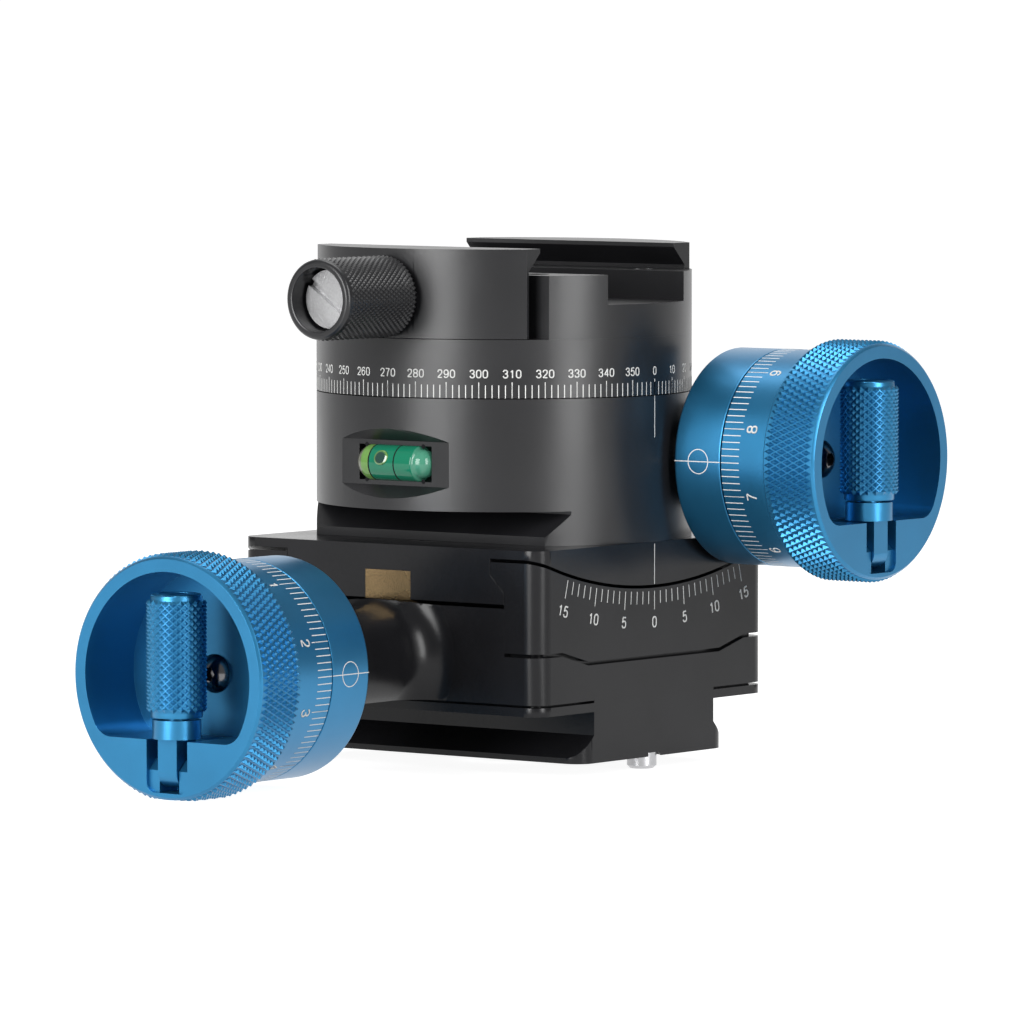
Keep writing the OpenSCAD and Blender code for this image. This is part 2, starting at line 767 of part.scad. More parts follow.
module tilt_knob() on_tilt_axis() knob();
module tilt_knob_screw() on_tilt_axis() knob_screw();
module tilt_crank_clevis() on_tilt_axis() clevis();
module tilt_crank_pin() on_tilt_axis() hinge_pin();
module tilt_crank_arm() on_tilt_axis() crank_arm();
module tilt_grip_screw() on_tilt_axis() grip_screw();
module tilt_grip() on_tilt_axis() grip();

// Tilting stage

sector_screw = [2.6, 2.6, 1.5, 6];
sector_hole_d = 20;
base_screw = [3.4, 4, 2, 9];
base_screw_z = arc_mid_z - 1.5;

module at_sector_screws() {
    for (x = [-1, 1]) translate([x * sector_screw_x, 0, cradle_top]) rotate([180, 0, 0]) children();
}

module cradle() {
    color(black) difference() {
        intersection() {
            block(foot_h, cradle_top);
            about_tilt_axis([
                [0, far], [tilt_arc_r, far], [tilt_arc_r, tongue_neck_half],
                [neck_end_r, tongue_neck_half], [flank_end_r, tongue_foot_half],
                [tongue_r, tongue_foot_half]
            ]);
        }
        about_tilt_axis([
            [sector_back_r - fit_gap, sector_w / 2 + fit_gap], [far, sector_w / 2 + fit_gap]
        ]);
        at_sector_screws()
            screw_hole(sector_screw[0], sector_screw[1], sector_screw[2], sector_hole_d);
        at_corners(base_screw_xy) translate([0, 0, base_screw_z])
            screw_hole(base_screw[0], base_screw[1], base_screw[2], far);
    }
}

// Toothed outline of a gear whose gaps are cut at a steady angle
module gear_gaps(pitch_r, pitch, add, root_gap, slack, step, angles) {
    function gap_half(r) = pitch / 4 + (r - pitch_r) * tan(flank_angle) + slack;
    root_r = pitch_r - add - root_gap;
    out_r = pitch_r + add + 1;
    for (a = angles) rotate(a * step) polygon([
        [root_r, -gap_half(root_r)], [out_r, -gap_half(out_r)],
        [out_r, gap_half(out_r)], [root_r, gap_half(root_r)]
    ]);
}

module tilt_sector() {
    step = 360 / tilt_teeth;
    gaps = ceil(asin(half / sector_tip_r) / step);
    color(brass) difference() {
        intersection() {
            translate([0, 0, tilt_axis_z]) rotate([90, 0, 0])
                linear_extrude(sector_w, center = true) difference() {
                    circle(sector_tip_r);
                    circle(sector_back_r);
                    rotate(-90) gear_gaps(sector_pitch_r, tilt_pitch, sector_add, tip_gap,
                                          backlash, step, [-gaps : gaps]);
                }
            translate([-half, -half, 0]) cube([block_w, block_w, cradle_top]);
        }
        at_sector_screws() cylinder(h = sector_screw[1] + sector_screw[3],
                                    r = sector_screw[2] + fit_gap);
    }
}

module sector_screws() {
    color(dark_steel) at_sector_screws()
        cap_screw(sector_screw[0], sector_screw[1], sector_screw[2], sector_screw[3]);
}

// Bottom outline of the pan base: a dovetail under the full round
module pan_foot_cut() {
    lip = foot_lip_w / 2;
    neck = foot_neck_w / 2;
    flank_z = cradle_top + pan_lip_h;
    top_z = flank_z + foot_flank;
    for (x = [-1, 1]) polygon([
        [x * lip, cradle_top - 1], [x * far, cradle_top - 1], [x * far, top_z + pan_neck_h],
        [x * neck, top_z + pan_neck_h], [x * neck, top_z], [x * lip, flank_z]
    ]);
}

vial_x = -pan_r + level_flat_d + vial_sink;
pan_bush_in = boss_end - bush_len;
pan_far_bush_y = 13;
pan_far_bush = -pan_reach - pan_far_bush_y;
pan_boss_root = 15;

module level_cut() {
    bevel = level_flat_d;
    translate([-pan_r, 0, pan_worm_z]) rotate([0, 90, 0]) {
        translate([0, 0, -1]) linear_extrude(1 + level_flat_d)
            square([level_flat_h, level_flat_w], center = true);
        rotate([90, 0, 0]) linear_extrude(level_flat_w, center = true) polygon([
            [-level_flat_h / 2, bevel], [level_flat_h / 2, bevel],
            [level_flat_h / 2 + 2 * bevel, -bevel], [-level_flat_h / 2 - 2 * bevel, -bevel]
        ]);
    }
    translate([vial_x, vial_len / 2 + slide_gap, pan_worm_z]) rotate([90, 0, 0])
        cylinder(h = vial_len + 2 * slide_gap, r = vial_d / 2 + fit_gap);
}

module level_vial() {
    color("#3fae4a") translate([vial_x, vial_len / 2, pan_worm_z]) rotate([90, 0, 0])
        cylinder(h = vial_len, r = vial_d / 2);
}

module pan_base() {
    color(black) difference() {
        union() {
            difference() {
                translate([0, 0, cradle_top]) cylinder(h = pan_base_h, r = pan_r);
                along_y(-far, far) pan_foot_cut();
            }
            on_pan_axis() translate([0, 0, pan_boss_root - pan_reach])
                cylinder(h = pan_reach - pan_boss_root + boss_end, r = boss_r);
        }
        translate([0, 0, wheel_room_floor]) cylinder(h = far, r = wheel_room_r);
        translate([0, 0, pan_base_top - bearing_t]) cylinder(h = far, r = bearing_seat_r + fit_gap);
        translate([0, 0, cradle_top + pilot_bush_floor])
            cylinder(h = far, r = pilot_bush_r + fit_gap);
        on_pan_axis() translate([0, 0, pan_far_bush]) cylinder(h = far, r = pan_bore_r);
        level_cut();
        at_corners(base_screw_xy) translate([0, 0, base_screw_z])
            cylinder(h = base_screw[1] + base_screw[3] + 0.5, r = base_screw[2] + fit_gap);
    }
}

module pan_base_screws() {
    color(dark_steel) at_corners(base_screw_xy) translate([0, 0, base_screw_z])
        cap_screw(base_screw[0], base_screw[1], base_screw[2], base_screw[3]);
}

module pan_worm_bushes() {
    color(bronze) on_pan_axis() {
        bush(pan_bush_in, boss_end, pan_bore_r);
        bush(pan_far_bush, pan_far_bush + pan_far_bush_len, pan_bore_r);
    }
}

module pan_index_ring() on_pan_axis() index_ring();

module pan_bearing() {
    color(bronze) translate([0, 0, pan_base_top - bearing_t]) difference() {
        cylinder(h = bearing_t, r = bearing_seat_r);
        translate([0, 0, -1]) cylinder(h = bearing_t + 2, r = spindle_r + run_gap);
    }
}

module spindle_bush() {
    color(bronze) translate([0, 0, cradle_top + pilot_bush_floor]) difference() {
        cylinder(h = wheel_room_floor - cradle_top - pilot_bush_floor, r = pilot_bush_r);
        translate([0, 0, -1]) cylinder(h = far, r = pilot_r + run_gap);
    }
}

// Pan drive

module pan_worm_shaft() {
    on_pan_axis() worm_shaft(pan_reach, pan_worm_len, pan_bush_in, pan_far_bush, pan_far_bush_len);
}

module pan_worm() {
    color(steel) on_pan_axis() translate([0, 0, -pan_reach])
        worm_thread(pan_worm_len, pan_pitch, pan_worm_r, wheel_add, pan_tip_gap, 180);
}

module pan_knob() on_pan_axis() knob();
module pan_knob_screw() on_pan_axis() knob_screw();
module pan_crank_clevis() on_pan_axis() clevis();
module pan_crank_pin() on_pan_axis() hinge_pin();
module pan_crank_arm() on_pan_axis() crank_arm();
module pan_grip_screw() on_pan_axis() grip_screw();
module pan_grip() on_pan_axis() grip();

// Panning top

module pan_worm_wheel() {
    color(brass) translate([0, 0, pan_worm_z]) linear_extrude(pan_wheel_w, center = true)
        difference() {
            circle(wheel_pitch_r + wheel_add);
            circle(spindle_r + fit_gap);
            gear_gaps(wheel_pitch_r, pan_pitch, wheel_add, pan_tip_gap, pan_backlash,
                      360 / pan_teeth, [0 : pan_teeth - 1]);
        }
}

module pan_spindle() {
    color(steel) {
        translate([0, 0, wheel_room_floor + 0.2])
            cylinder(h = pan_ring_top - wheel_room_floor - 0.2, r = spindle_r);
        translate([0, 0, cradle_top + 1.2])
            cylinder(h = wheel_room_floor - cradle_top, r = pilot_r);
    }
}

clamp_body_screw = [2.6, 2.6, 1.5, 12];

module at_clamp_screws() {
    for (a = clamp_screw_angles)
        translate([clamp_screw_ring_r * cos(a), clamp_screw_ring_r * sin(a), bed_z - 0.3])
            rotate([180, 0, 0]) children();
}

module pan_ring() {
    color(black) difference() {
        translate([0, 0, pan_ring_z]) cylinder(h = pan_ring_top - pan_ring_z, r = pan_r);
        translate([0, 0, pan_base_top]) cylinder(h = far, r = spindle_r + fit_gap);
        at_clamp_screws() cylinder(h = clamp_body_screw[1] + clamp_body_screw[3] + 0.3,
                                   r = clamp_body_screw[2] + fit_gap);
    }
}

// X, Z outline of the clamp: bed with the fixed jaw on the right
module clamp_outline() {
    undercut_z = clamp_top - lip_h - jaw_undercut;
    polygon([
        [-clamp_side_x, pan_ring_top], [pan_r, pan_ring_top], [pan_r, clamp_top],
        [fixed_lip_x, clamp_top], [fixed_lip_x, clamp_top - lip_h], [fixed_wall_x, undercut_z],
        [fixed_wall_x, bed_z], [channel_w / 2, bed_z], [channel_w / 2, bed_z - channel_d],
        [-channel_w / 2, bed_z - channel_d], [-channel_w / 2, bed_z], [-clamp_side_x, bed_z]
    ]);
}

// X, Z outline of the movable jaw on the left
module jaw_outline() {
    undercut_z = clamp_top - lip_h - jaw_undercut;
    polygon([
        [-pan_r, pan_ring_top + jaw_gap], [-moving_wall_x, pan_ring_top + jaw_gap],
        [-moving_wall_x, undercut_z], [-moving_lip_x, clamp_top - lip_h],
        [-moving_lip_x, clamp_top], [-pan_r, clamp_top]
    ]);
}

module clamp_round() {
    translate([0, 0, pan_ring_top]) cylinder(h = far, r = pan_r);
}

module clamp_body() {
    color(black) difference() {
        intersection() {
            along_y(-far, far) clamp_outline();
            clamp_round();
        }
        for (y = [-1, 1]) translate([fixed_lip_x - 1, y * jaw_half_len - (y < 0 ? far : 0), bed_z])
            cube([far, far, far]);
        at_clamp_screws() screw_hole(clamp_body_screw[0], clamp_body_screw[1],
                                     clamp_body_screw[2], far);
        rod_x(-far, -channel_w / 2 + 1, clamp_screw_r + run_gap, 0, clamp_screw_z);
        for (y = [-1, 1]) {
            rod_x(-far, -clamp_side_x + guide_pin_in, guide_pin_r + fit_gap,
                  y * guide_pin_y, guide_pin_z);
            rod_x(-far, -clamp_side_x + spring_room, spring_r + fit_gap,
                  y * guide_pin_y, guide_pin_z);
        }
    }
}

module clamp_body_screws() {
    color(dark_steel) at_clamp_screws() cap_screw(clamp_body_screw[0], clamp_body_screw[1],
                                                  clamp_body_screw[2], clamp_body_screw[3]);
}

module clamp_guide_pins() {
    color(steel) for (y = [-1, 1])
        rod_x(-moving_wall_x - guide_pin_out, -clamp_side_x + guide_pin_in, guide_pin_r,
              y * guide_pin_y, guide_pin_z);
}

module clamp_springs() {
    color(steel) for (y = [-1, 1]) difference() {
        rod_x(-moving_wall_x, -clamp_side_x + spring_room, spring_r, y * guide_pin_y, guide_pin_z);
        rod_x(-far, far, guide_pin_r + 0.3, y * guide_pin_y, guide_pin_z);
    }
}

module clamp_jaw() {
    color(black) difference() {
        intersection() {
            along_y(-jaw_half_len, jaw_half_len) jaw_outline();
            clamp_round();
        }
        rod_x(-far, far, clamp_screw_r + run_gap, 0, clamp_screw_z);
        rod_x(-far, -spot_x, clamp_neck_r + 0.6, 0, clamp_screw_z);
        for (y = [-1, 1])
            rod_x(-moving_wall_x - guide_pin_out - guide_pin_room, far, guide_pin_r + run_gap,
                  y * guide_pin_y, guide_pin_z);
    }
}

module clamp_knob() {
    knob_r = clamp_knob_d / 2;
    front = knob_back_x + clamp_knob_len;
    color(black) translate([0, 0, clamp_screw_z]) rotate([0, -90, 0]) difference() {
        rotate_extrude() polygon([
            [0, spot_x + run_gap], [clamp_neck_r, spot_x + run_gap], [clamp_neck_r, knob_back_x],
            [knob_r - chamfer, knob_back_x], [knob_r, knob_back_x + chamfer],
            [knob_r, front - chamfer], [knob_r - chamfer, front], [0, front]
        ]);
        cylinder(h = far, r = clamp_screw_r + fit_gap);
        translate([0, 0, front - cup_depth - 2]) cylinder(h = far, r = cup_r);
    }
}

module clamp_screw() {
    front = knob_back_x + clamp_knob_len;
    head_z = front - cup_depth - 2;
    tip = channel_w / 2 + 2.5;
    color(steel) translate([0, 0, clamp_screw_z]) rotate([0, -90, 0]) difference() {
        union() {
            translate([0, 0, tip]) cylinder(h = head_z - tip, r = clamp_screw_r);
            translate([0, 0, head_z]) cylinder(h = 2, r = cup_r - 0.4);
        }
        translate([0, 0, head_z + 2]) rotate(-35) cube([1.2, 4 * cup_r, 2], center = true);
    }
}

dovetail_plate();
base_block();
front_scale_plate();
rear_guide_plate();
guide_plate_screws();
foot_screws();
stop_pins();
tripod_bushing();
tilt_worm_bushes();
tilt_worm_end_cap();
tilt_index_ring();
tilt_worm_shaft();
tilt_worm();
tilt_knob();
tilt_knob_screw();
tilt_crank_clevis();
tilt_crank_pin();
tilt_crank_arm();
tilt_grip_screw();
tilt_grip();
cradle();
tilt_sector();
sector_screws();
pan_base();
pan_base_screws();
level_vial();
pan_worm_bushes();
pan_index_ring();
pan_bearing();
spindle_bush();
pan_worm_shaft();
pan_worm();
pan_knob();
pan_knob_screw();
pan_crank_clevis();
pan_crank_pin();
pan_crank_arm();
pan_grip_screw();
pan_grip();
pan_ring();
pan_worm_wheel();
pan_spindle();
clamp_body();
clamp_body_screws();
clamp_guide_pins();
clamp_springs();
clamp_jaw();
clamp_knob();
clamp_screw();
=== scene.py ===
"""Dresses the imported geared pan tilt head.

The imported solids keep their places. This file gives them their finishes and rounded edges, cuts
the knurls, inlays the degree scales, fills the spirit level and builds a plain white studio.
Sizes are in metres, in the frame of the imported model: -Y is the side with the tilt scale, -X the
side with the tilt knob, and +Z runs up the pan axis.
"""

import json
import math

import bmesh
import bpy
from bpy.props import FloatProperty, FloatVectorProperty, IntProperty, PointerProperty
from bpy.types import Operator, Panel, PropertyGroup
from mathutils import Matrix, Vector


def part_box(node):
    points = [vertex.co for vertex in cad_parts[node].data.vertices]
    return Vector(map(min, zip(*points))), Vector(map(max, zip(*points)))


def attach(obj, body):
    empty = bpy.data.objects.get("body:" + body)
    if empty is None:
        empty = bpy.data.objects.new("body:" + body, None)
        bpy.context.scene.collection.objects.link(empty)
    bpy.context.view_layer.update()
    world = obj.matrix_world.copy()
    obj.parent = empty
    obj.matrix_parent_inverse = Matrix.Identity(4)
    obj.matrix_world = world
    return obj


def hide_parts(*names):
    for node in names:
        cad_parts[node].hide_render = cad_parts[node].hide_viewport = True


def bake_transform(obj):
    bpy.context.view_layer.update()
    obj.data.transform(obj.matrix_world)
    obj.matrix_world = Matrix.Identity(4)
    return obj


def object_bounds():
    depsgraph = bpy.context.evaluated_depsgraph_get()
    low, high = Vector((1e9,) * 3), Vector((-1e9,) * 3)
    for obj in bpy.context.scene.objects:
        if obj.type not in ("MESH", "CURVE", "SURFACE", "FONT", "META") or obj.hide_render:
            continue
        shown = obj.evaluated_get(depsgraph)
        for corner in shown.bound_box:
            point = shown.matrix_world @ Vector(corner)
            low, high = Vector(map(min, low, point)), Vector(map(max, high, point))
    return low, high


bl_info = {
    "name": "Geared Pan Tilt Head",
    "version": (1, 0, 0),
    "blender": (4, 5, 0),
    "location": "3D View > Sidebar > Head",
    "description": "Finishes, knurls, scales, level and studio for a geared pan tilt head",
    "category": "Object",
}

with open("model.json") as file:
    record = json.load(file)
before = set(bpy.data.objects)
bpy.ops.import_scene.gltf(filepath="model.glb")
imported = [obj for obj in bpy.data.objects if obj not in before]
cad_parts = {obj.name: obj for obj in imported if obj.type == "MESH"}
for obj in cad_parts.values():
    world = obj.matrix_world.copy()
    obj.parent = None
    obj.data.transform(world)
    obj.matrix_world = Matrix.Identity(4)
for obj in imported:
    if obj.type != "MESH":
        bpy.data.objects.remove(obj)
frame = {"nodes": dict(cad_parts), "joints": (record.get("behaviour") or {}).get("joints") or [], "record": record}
NODES = frame["nodes"]
RECORD = frame["record"]
CAD_LOW, CAD_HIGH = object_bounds()

FULL_TURN = 2 * math.pi
# Columns of each turn are the world directions of a knob's own x, y and outward z.
TILT_KNOB_TURN = Matrix(((0, 0, -1, 0), (-1, 0, 0, 0), (0, 1, 0, 0), (0, 0, 0, 1)))
PAN_KNOB_TURN = Matrix(((1, 0, 0, 0), (0, 0, -1, 0), (0, 1, 0, 0), (0, 0, 0, 1)))
# Stands a cone on its side, so that it points along x, with its first width along y.
POINT_OUTWARD = Matrix(((0, 0, 1, 0), (1, 0, 0, 0), (0, 1, 0, 0), (0, 0, 0, 1)))

# Steps round the vial, an index circle, the bubble, a relief, a spring's turn and its wire, and
# along the floor's bend.
ROUND_STEPS = 48
CIRCLE_STEPS = 40
BUBBLE_STEPS = 32
RELIEF_STEPS = 20
COIL_STEPS = 18
WIRE_STEPS = 8
FLOOR_STEPS = 12
# Lines and numbers round each scale, and the degrees between two numbers of the tilt scale.
PAN_LINES = 180
PAN_NUMBERS = 36
KNOB_LINES = 100
KNOB_NUMBERS = 10
TILT_STEP = 5
# A diamond's flat top as a share of its foot, and its depth under the surface as a share of its
# height.
KNURL_CREST = 0.12
KNURL_SINK = 0.25
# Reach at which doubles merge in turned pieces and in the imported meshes, in metres, and the steps
# across a broken edge.
MERGE_REACH = 1e-7
WELD_REACH = 2e-6
EDGE_SEGMENTS = 2
# Scale of the blasted grain and of the coarse one, how the grain shades a colour, and a coat's
# roughness as a share of the metal's.
FINE_GRAIN = 9000.0
COARSE_GRAIN = 2600.0
PIT_SHARE = 0.45
DARK_TONE = 0.35
PALE_TONE = 0.95
COAT_GLOSS = 0.8
# Width of the change between two colours of the level, as a share of its tube.
BAND_BLEND = 0.01
# The camera's sensor in millimetres, the top light's size in metres, and the floor's own tones.
SENSOR_WIDTH = 36
TOP_SIZE = (0.9, 0.6)
FLOOR_TONE = (0.3, 0.3, 0.3, 1)
FLOOR_GLOW = 0.93
WHITE = (1, 1, 1, 1)

# The finish of each material slot.
FINISH_OF_SLOT = {
    "black_anodised": "black_anodised_finish",
    "blue_anodised": "blue_anodised_finish",
    "bright_steel": "bright_steel_finish",
    "dark_steel": "dark_steel_finish",
    "brass": "brass_finish",
    "bronze": "bronze_finish",
    "level_green": "level_fluid",
}

# Nodes whose finish differs from that of their slot.
FINISH_OF_NODE = {
    "clamp_screw": "worn_steel_finish",
    "base_block": "black_base_finish",
    "cradle": "black_base_finish",
    "dovetail_plate": "black_base_finish",
    "front_scale_plate": "black_base_finish",
    "rear_guide_plate": "black_base_finish",
}

# Nodes made of small facets, whose edges stay as they are.
FACETED_NODES = ("tilt_worm", "pan_worm")

# Half outline of the level's tube from its clear end to its plugged end, in shares of its half
# length and radius.
VIAL_OUTLINE = (
    (1.0, 0.0), (0.985, 0.3), (0.945, 0.55), (0.88, 0.75), (0.79, 0.9), (0.71, 0.985),
    (0.66, 1.0), (-0.63, 1.0), (-0.66, 0.985), (-0.68, 0.93), (-0.69, 0.8), (-0.78, 0.79),
    (-0.87, 0.7), (-0.94, 0.52), (-0.985, 0.28), (-1.0, 0.0),
)

# Pen strokes of the digits, in shares of their width and height; a stroke ends at a sharp corner.
DIGIT_STROKES = {
    "0": [[(0.5, 0), (0.1, 0.12), (0, 0.5), (0.1, 0.88), (0.5, 1), (0.9, 0.88), (1, 0.5),
           (0.9, 0.12), (0.5, 0)]],
    "1": [[(0.2, 0.76), (0.45, 0.84), (0.6, 1)], [(0.6, 1), (0.6, 0)]],
    "2": [[(0.02, 0.72), (0.14, 0.93), (0.5, 1), (0.86, 0.93), (0.97, 0.72), (0.8, 0.48),
           (0.3, 0.2), (0, 0)], [(0, 0), (1, 0)]],
    "3": [[(0.02, 0.78), (0.15, 0.94), (0.48, 1), (0.84, 0.93), (0.94, 0.76), (0.8, 0.58),
           (0.4, 0.53)],
          [(0.4, 0.53), (0.84, 0.47), (1, 0.27), (0.86, 0.07), (0.48, 0), (0.13, 0.07),
           (0, 0.25)]],
    "4": [[(0.78, 0), (0.78, 1)], [(0.78, 1), (0, 0.26)], [(0, 0.26), (1, 0.26)]],
    "5": [[(0.92, 1), (0.2, 1)], [(0.2, 1), (0.08, 0.5)],
          [(0.08, 0.5), (0.25, 0.6), (0.52, 0.64), (0.88, 0.55), (1, 0.32), (0.87, 0.08),
           (0.48, 0), (0.13, 0.06), (0, 0.22)]],
    "6": [[(0.95, 0.8), (0.84, 0.95), (0.52, 1), (0.14, 0.86), (0, 0.45), (0.12, 0.1),
           (0.5, 0), (0.88, 0.09), (1, 0.31), (0.88, 0.54), (0.52, 0.62), (0.16, 0.53),
           (0.01, 0.36)]],
    "7": [[(0, 1), (1, 1)], [(1, 1), (0.62, 0.58), (0.36, 0)]],
    "8": [[(0.5, 0), (0.12, 0.07), (0, 0.26), (0.14, 0.46), (0.5, 0.53), (0.86, 0.6),
           (0.96, 0.76), (0.85, 0.94), (0.5, 1), (0.15, 0.94), (0.04, 0.76), (0.14, 0.6),
           (0.5, 0.53), (0.86, 0.46), (1, 0.26), (0.88, 0.07), (0.5, 0)]],
    "9": [[(0.05, 0.2), (0.16, 0.05), (0.48, 0), (0.86, 0.14), (1, 0.55), (0.88, 0.9),
           (0.5, 1), (0.12, 0.91), (0, 0.69), (0.12, 0.46), (0.48, 0.38), (0.84, 0.47),
           (0.99, 0.64)]],
}


# Properties

def colour(name, about, value):
    """A colour property."""
    return FloatVectorProperty(name=name, description=about, subtype="COLOR", default=value)


def length(name, about, value):
    """A length property in metres."""
    return FloatProperty(name=name, description=about, subtype="DISTANCE", default=value)


def degrees(name, about, value):
    """An angle property, given in degrees."""
    return FloatProperty(name=name, description=about, subtype="ANGLE", default=math.radians(value))


def watts(name, about, value):
    """A light's power property."""
    return FloatProperty(name=name, description=about, subtype="POWER", default=value)


def factor(name, about, value):
    """A plain number property."""
    return FloatProperty(name=name, description=about, default=value)


def count(name, about, value, least):
    """A whole number property with a least value."""
    return IntProperty(name=name, description=about, default=value, min=least)


class HeadColours(PropertyGroup):
    """Colours of the finishes."""

    black: colour("Black anodising", "Colour of the blasted black bodies", (0.0075, 0.0075, 0.0085))
    blue: colour("Blue anodising", "Colour of the blue knobs", (0.02, 0.18, 0.36))
    steel: colour("Bright steel", "Colour of turned pins and screws", (0.5, 0.5, 0.51))
    worn_steel: colour("Worn steel", "Colour of the slotted clamp screw", (0.36, 0.36, 0.365))
    dark_steel: colour("Dark steel", "Colour of blackened screws", (0.15, 0.15, 0.155))
    brass: colour("Brass", "Colour of the worm sector and wheel", (0.2, 0.14, 0.072))
    bronze: colour("Bronze", "Colour of the bushes", (0.4, 0.23, 0.1))
    fluid: colour("Level fluid", "Colour of the fluid in the spirit level", (0.006, 0.14, 0.075))
    # Lime is the band's own colour, and also the painted light at the bubble's rim.
    lime: colour("Lime band", "Colour of the band beside the level's left ring", (0.11, 0.23, 0.055))
    pale_end: colour("Pale end", "Colour of the level's plugged end", (0.05, 0.2, 0.13))
    clear_end: colour("Clear end", "Colour seen through the level's clear end", (0.1, 0.105, 0.075))
    # The bubble colour is painted shade: the dark middle that bent light gives a real bubble.
    bubble: colour("Bubble", "Colour of the middle of the bubble", (0.008, 0.04, 0.03))
    paint: colour("Scale paint", "Colour of the filled scales", (0.6, 0.6, 0.585))


class KnurlSizes(PropertyGroup):
    """Sizes of the diamond knurls."""

    rim_columns: count("Rim diamonds", "Diamonds round a knob rim", 108, 12)
    rim_rows: count("Rim rows", "Full diamonds across a knob rim", 4, 1)
    rim_edge: length("Rim edge", "Plain edge on each side of a rim's knurl", 0.00025)
    rim_height: length("Rim height", "Height of a rim's diamonds", 0.0005)
    grip_columns: count("Grip diamonds", "Diamonds round a crank grip", 22, 8)
    grip_rows: count("Grip rows", "Full diamonds along a crank grip", 15, 1)
    grip_edge: length("Grip edge", "Plain end of a crank grip", 0.0009)
    grip_height: length("Grip height", "Height of a grip's diamonds", 0.0003)
    clamp_columns: count("Clamp knob diamonds", "Diamonds round the clamp knob", 52, 8)
    clamp_rows: count("Clamp knob rows", "Full diamonds along the clamp knob", 13, 1)
    clamp_edge: length("Clamp knob edge", "Plain end of the clamp knob", 0.0009)
    clamp_height: length("Clamp knob height", "Height of the clamp knob's diamonds", 0.00016)


class ScaleSizes(PropertyGroup):
    """Sizes of the filled scale marks."""

    line: length("Line width", "Width of a scale line", 0.00014)
    fill: length("Fill", "Depth of the paint in a mark", 0.00006)
    proud: length("Proud", "Paint that stands over the surface", 0.000015)
    digit_width: factor("Digit width", "Width of a digit as a share of its height", 0.64)
    digit_stroke: factor("Digit stroke", "Pen width as a share of a digit's height", 0.155)
    digit_gap: factor("Digit gap", "Gap between digits as a share of their height", 0.1)
    pan_minor: length("Pan tick", "Length of a two degree line", 0.00205)
    pan_major: length("Pan ten degree tick", "Length of a ten degree line", 0.0025)
    pan_digits: length("Pan digits", "Height of the pan numbers", 0.0014)
    pan_digits_at: length(
        "Pan digits place", "Foot of the pan numbers over the ring's lower edge", 0.0031)
    tilt_radius: length("Tilt scale radius", "Radius at which the tilt lines start", 0.0874)
    tilt_minor: length("Tilt tick", "Length of a one degree line", 0.002)
    tilt_major: length("Tilt five degree tick", "Length of a five degree line", 0.0029)
    tilt_digits: length("Tilt digits", "Height of the tilt numbers", 0.0019)
    tilt_digits_radius: length("Tilt digits radius", "Radius of the middle of the tilt numbers", 0.0923)
    tilt_reach: count("Tilt reach", "Degrees on each side of the tilt scale", 15, 1)
    knob_minor: length("Knob tick", "Length of a fine line on a knob barrel", 0.0034)
    knob_major: length("Knob ten line", "Length of a numbered line on a knob barrel", 0.0039)
    knob_digits: length("Knob digits", "Height of the numbers on a knob barrel", 0.0021)
    knob_digits_at: length("Knob digits place", "Middle of the numbers from the barrel's back", 0.0054)
    barrel_radius: length("Barrel radius", "Radius of a knob's graduated barrel", 0.0173)
    barrel_length: length("Barrel length", "Length of a knob's graduated barrel", 0.0088)
    pan_index: length("Pan index line", "Length of the index line below the pan ring", 0.0066)
    tilt_index_low: length("Tilt index foot", "Height of the lower end of the tilt index line", 0.0273)
    tilt_index_high: length("Tilt index head", "Height of the upper end of the tilt index line", 0.0337)
    index_gap: length("Index gap", "Gap between an index line and the knob barrel", 0.0003)
    index_circle: length("Index circle", "Diameter of the circle on an index ring", 0.004)


class LevelSizes(PropertyGroup):
    """Sizes of the spirit level, along its tube from its middle."""

    sink: length("Sink", "Depth of the tube's axis under its flat", 0.0006)
    ring_left: length("Left ring", "Place of the ring beside the lime band", 0.0037)
    ring_right: length("Right ring", "Place of the other ring", -0.0013)
    ring_width: length("Ring width", "Width of a painted ring", 0.00022)
    lime_end: length("Lime band end", "End of the lime band", 0.0052)
    plug_at: length("Plug", "Place where the plugged end starts", -0.0048)
    bubble_at: length("Bubble place", "Place of the middle of the bubble", 0.00125)
    bubble_long: length("Bubble length", "Length of the bubble", 0.0027)
    bubble_wide: length("Bubble width", "Width of the bubble round the tube", 0.0024)
    bubble_rise: length("Bubble rise", "Height of the bubble over the tube's axis", 0.0009)
    ring_proud: length("Ring height", "Height of a painted ring over the tube", 0.000023)
    bubble_proud: length("Bubble height", "Height of the bubble over the tube", 0.00026)
    # The corner reliefs are flat dark discs of painted shade, where the real slot has round holes.
    relief_depth: length("Relief depth", "Thickness of the dark disc in a corner relief", 0.00004)
    relief: length("Corner relief", "Diameter of the round reliefs at the slot's corners", 0.0007)
    relief_left: length("Left reliefs", "Place of the left pair of corner reliefs", 0.0057)
    relief_right: length("Right reliefs", "Place of the right pair of corner reliefs", -0.0056)


class SpringSizes(PropertyGroup):
    """Sizes of the jaw's return springs."""

    wire: length("Spring wire", "Thickness of the wire of a return spring", 0.0007)
    turns: count("Spring turns", "Turns of a return spring", 5, 2)


class EdgeSizes(PropertyGroup):
    """Sizes of the broken edges on the machined bodies."""

    width: length("Broken edge", "Width of the rounded edge of a machined body", 0.00022)
    angle: degrees("Edge angle", "Edges sharper than this are rounded", 32)


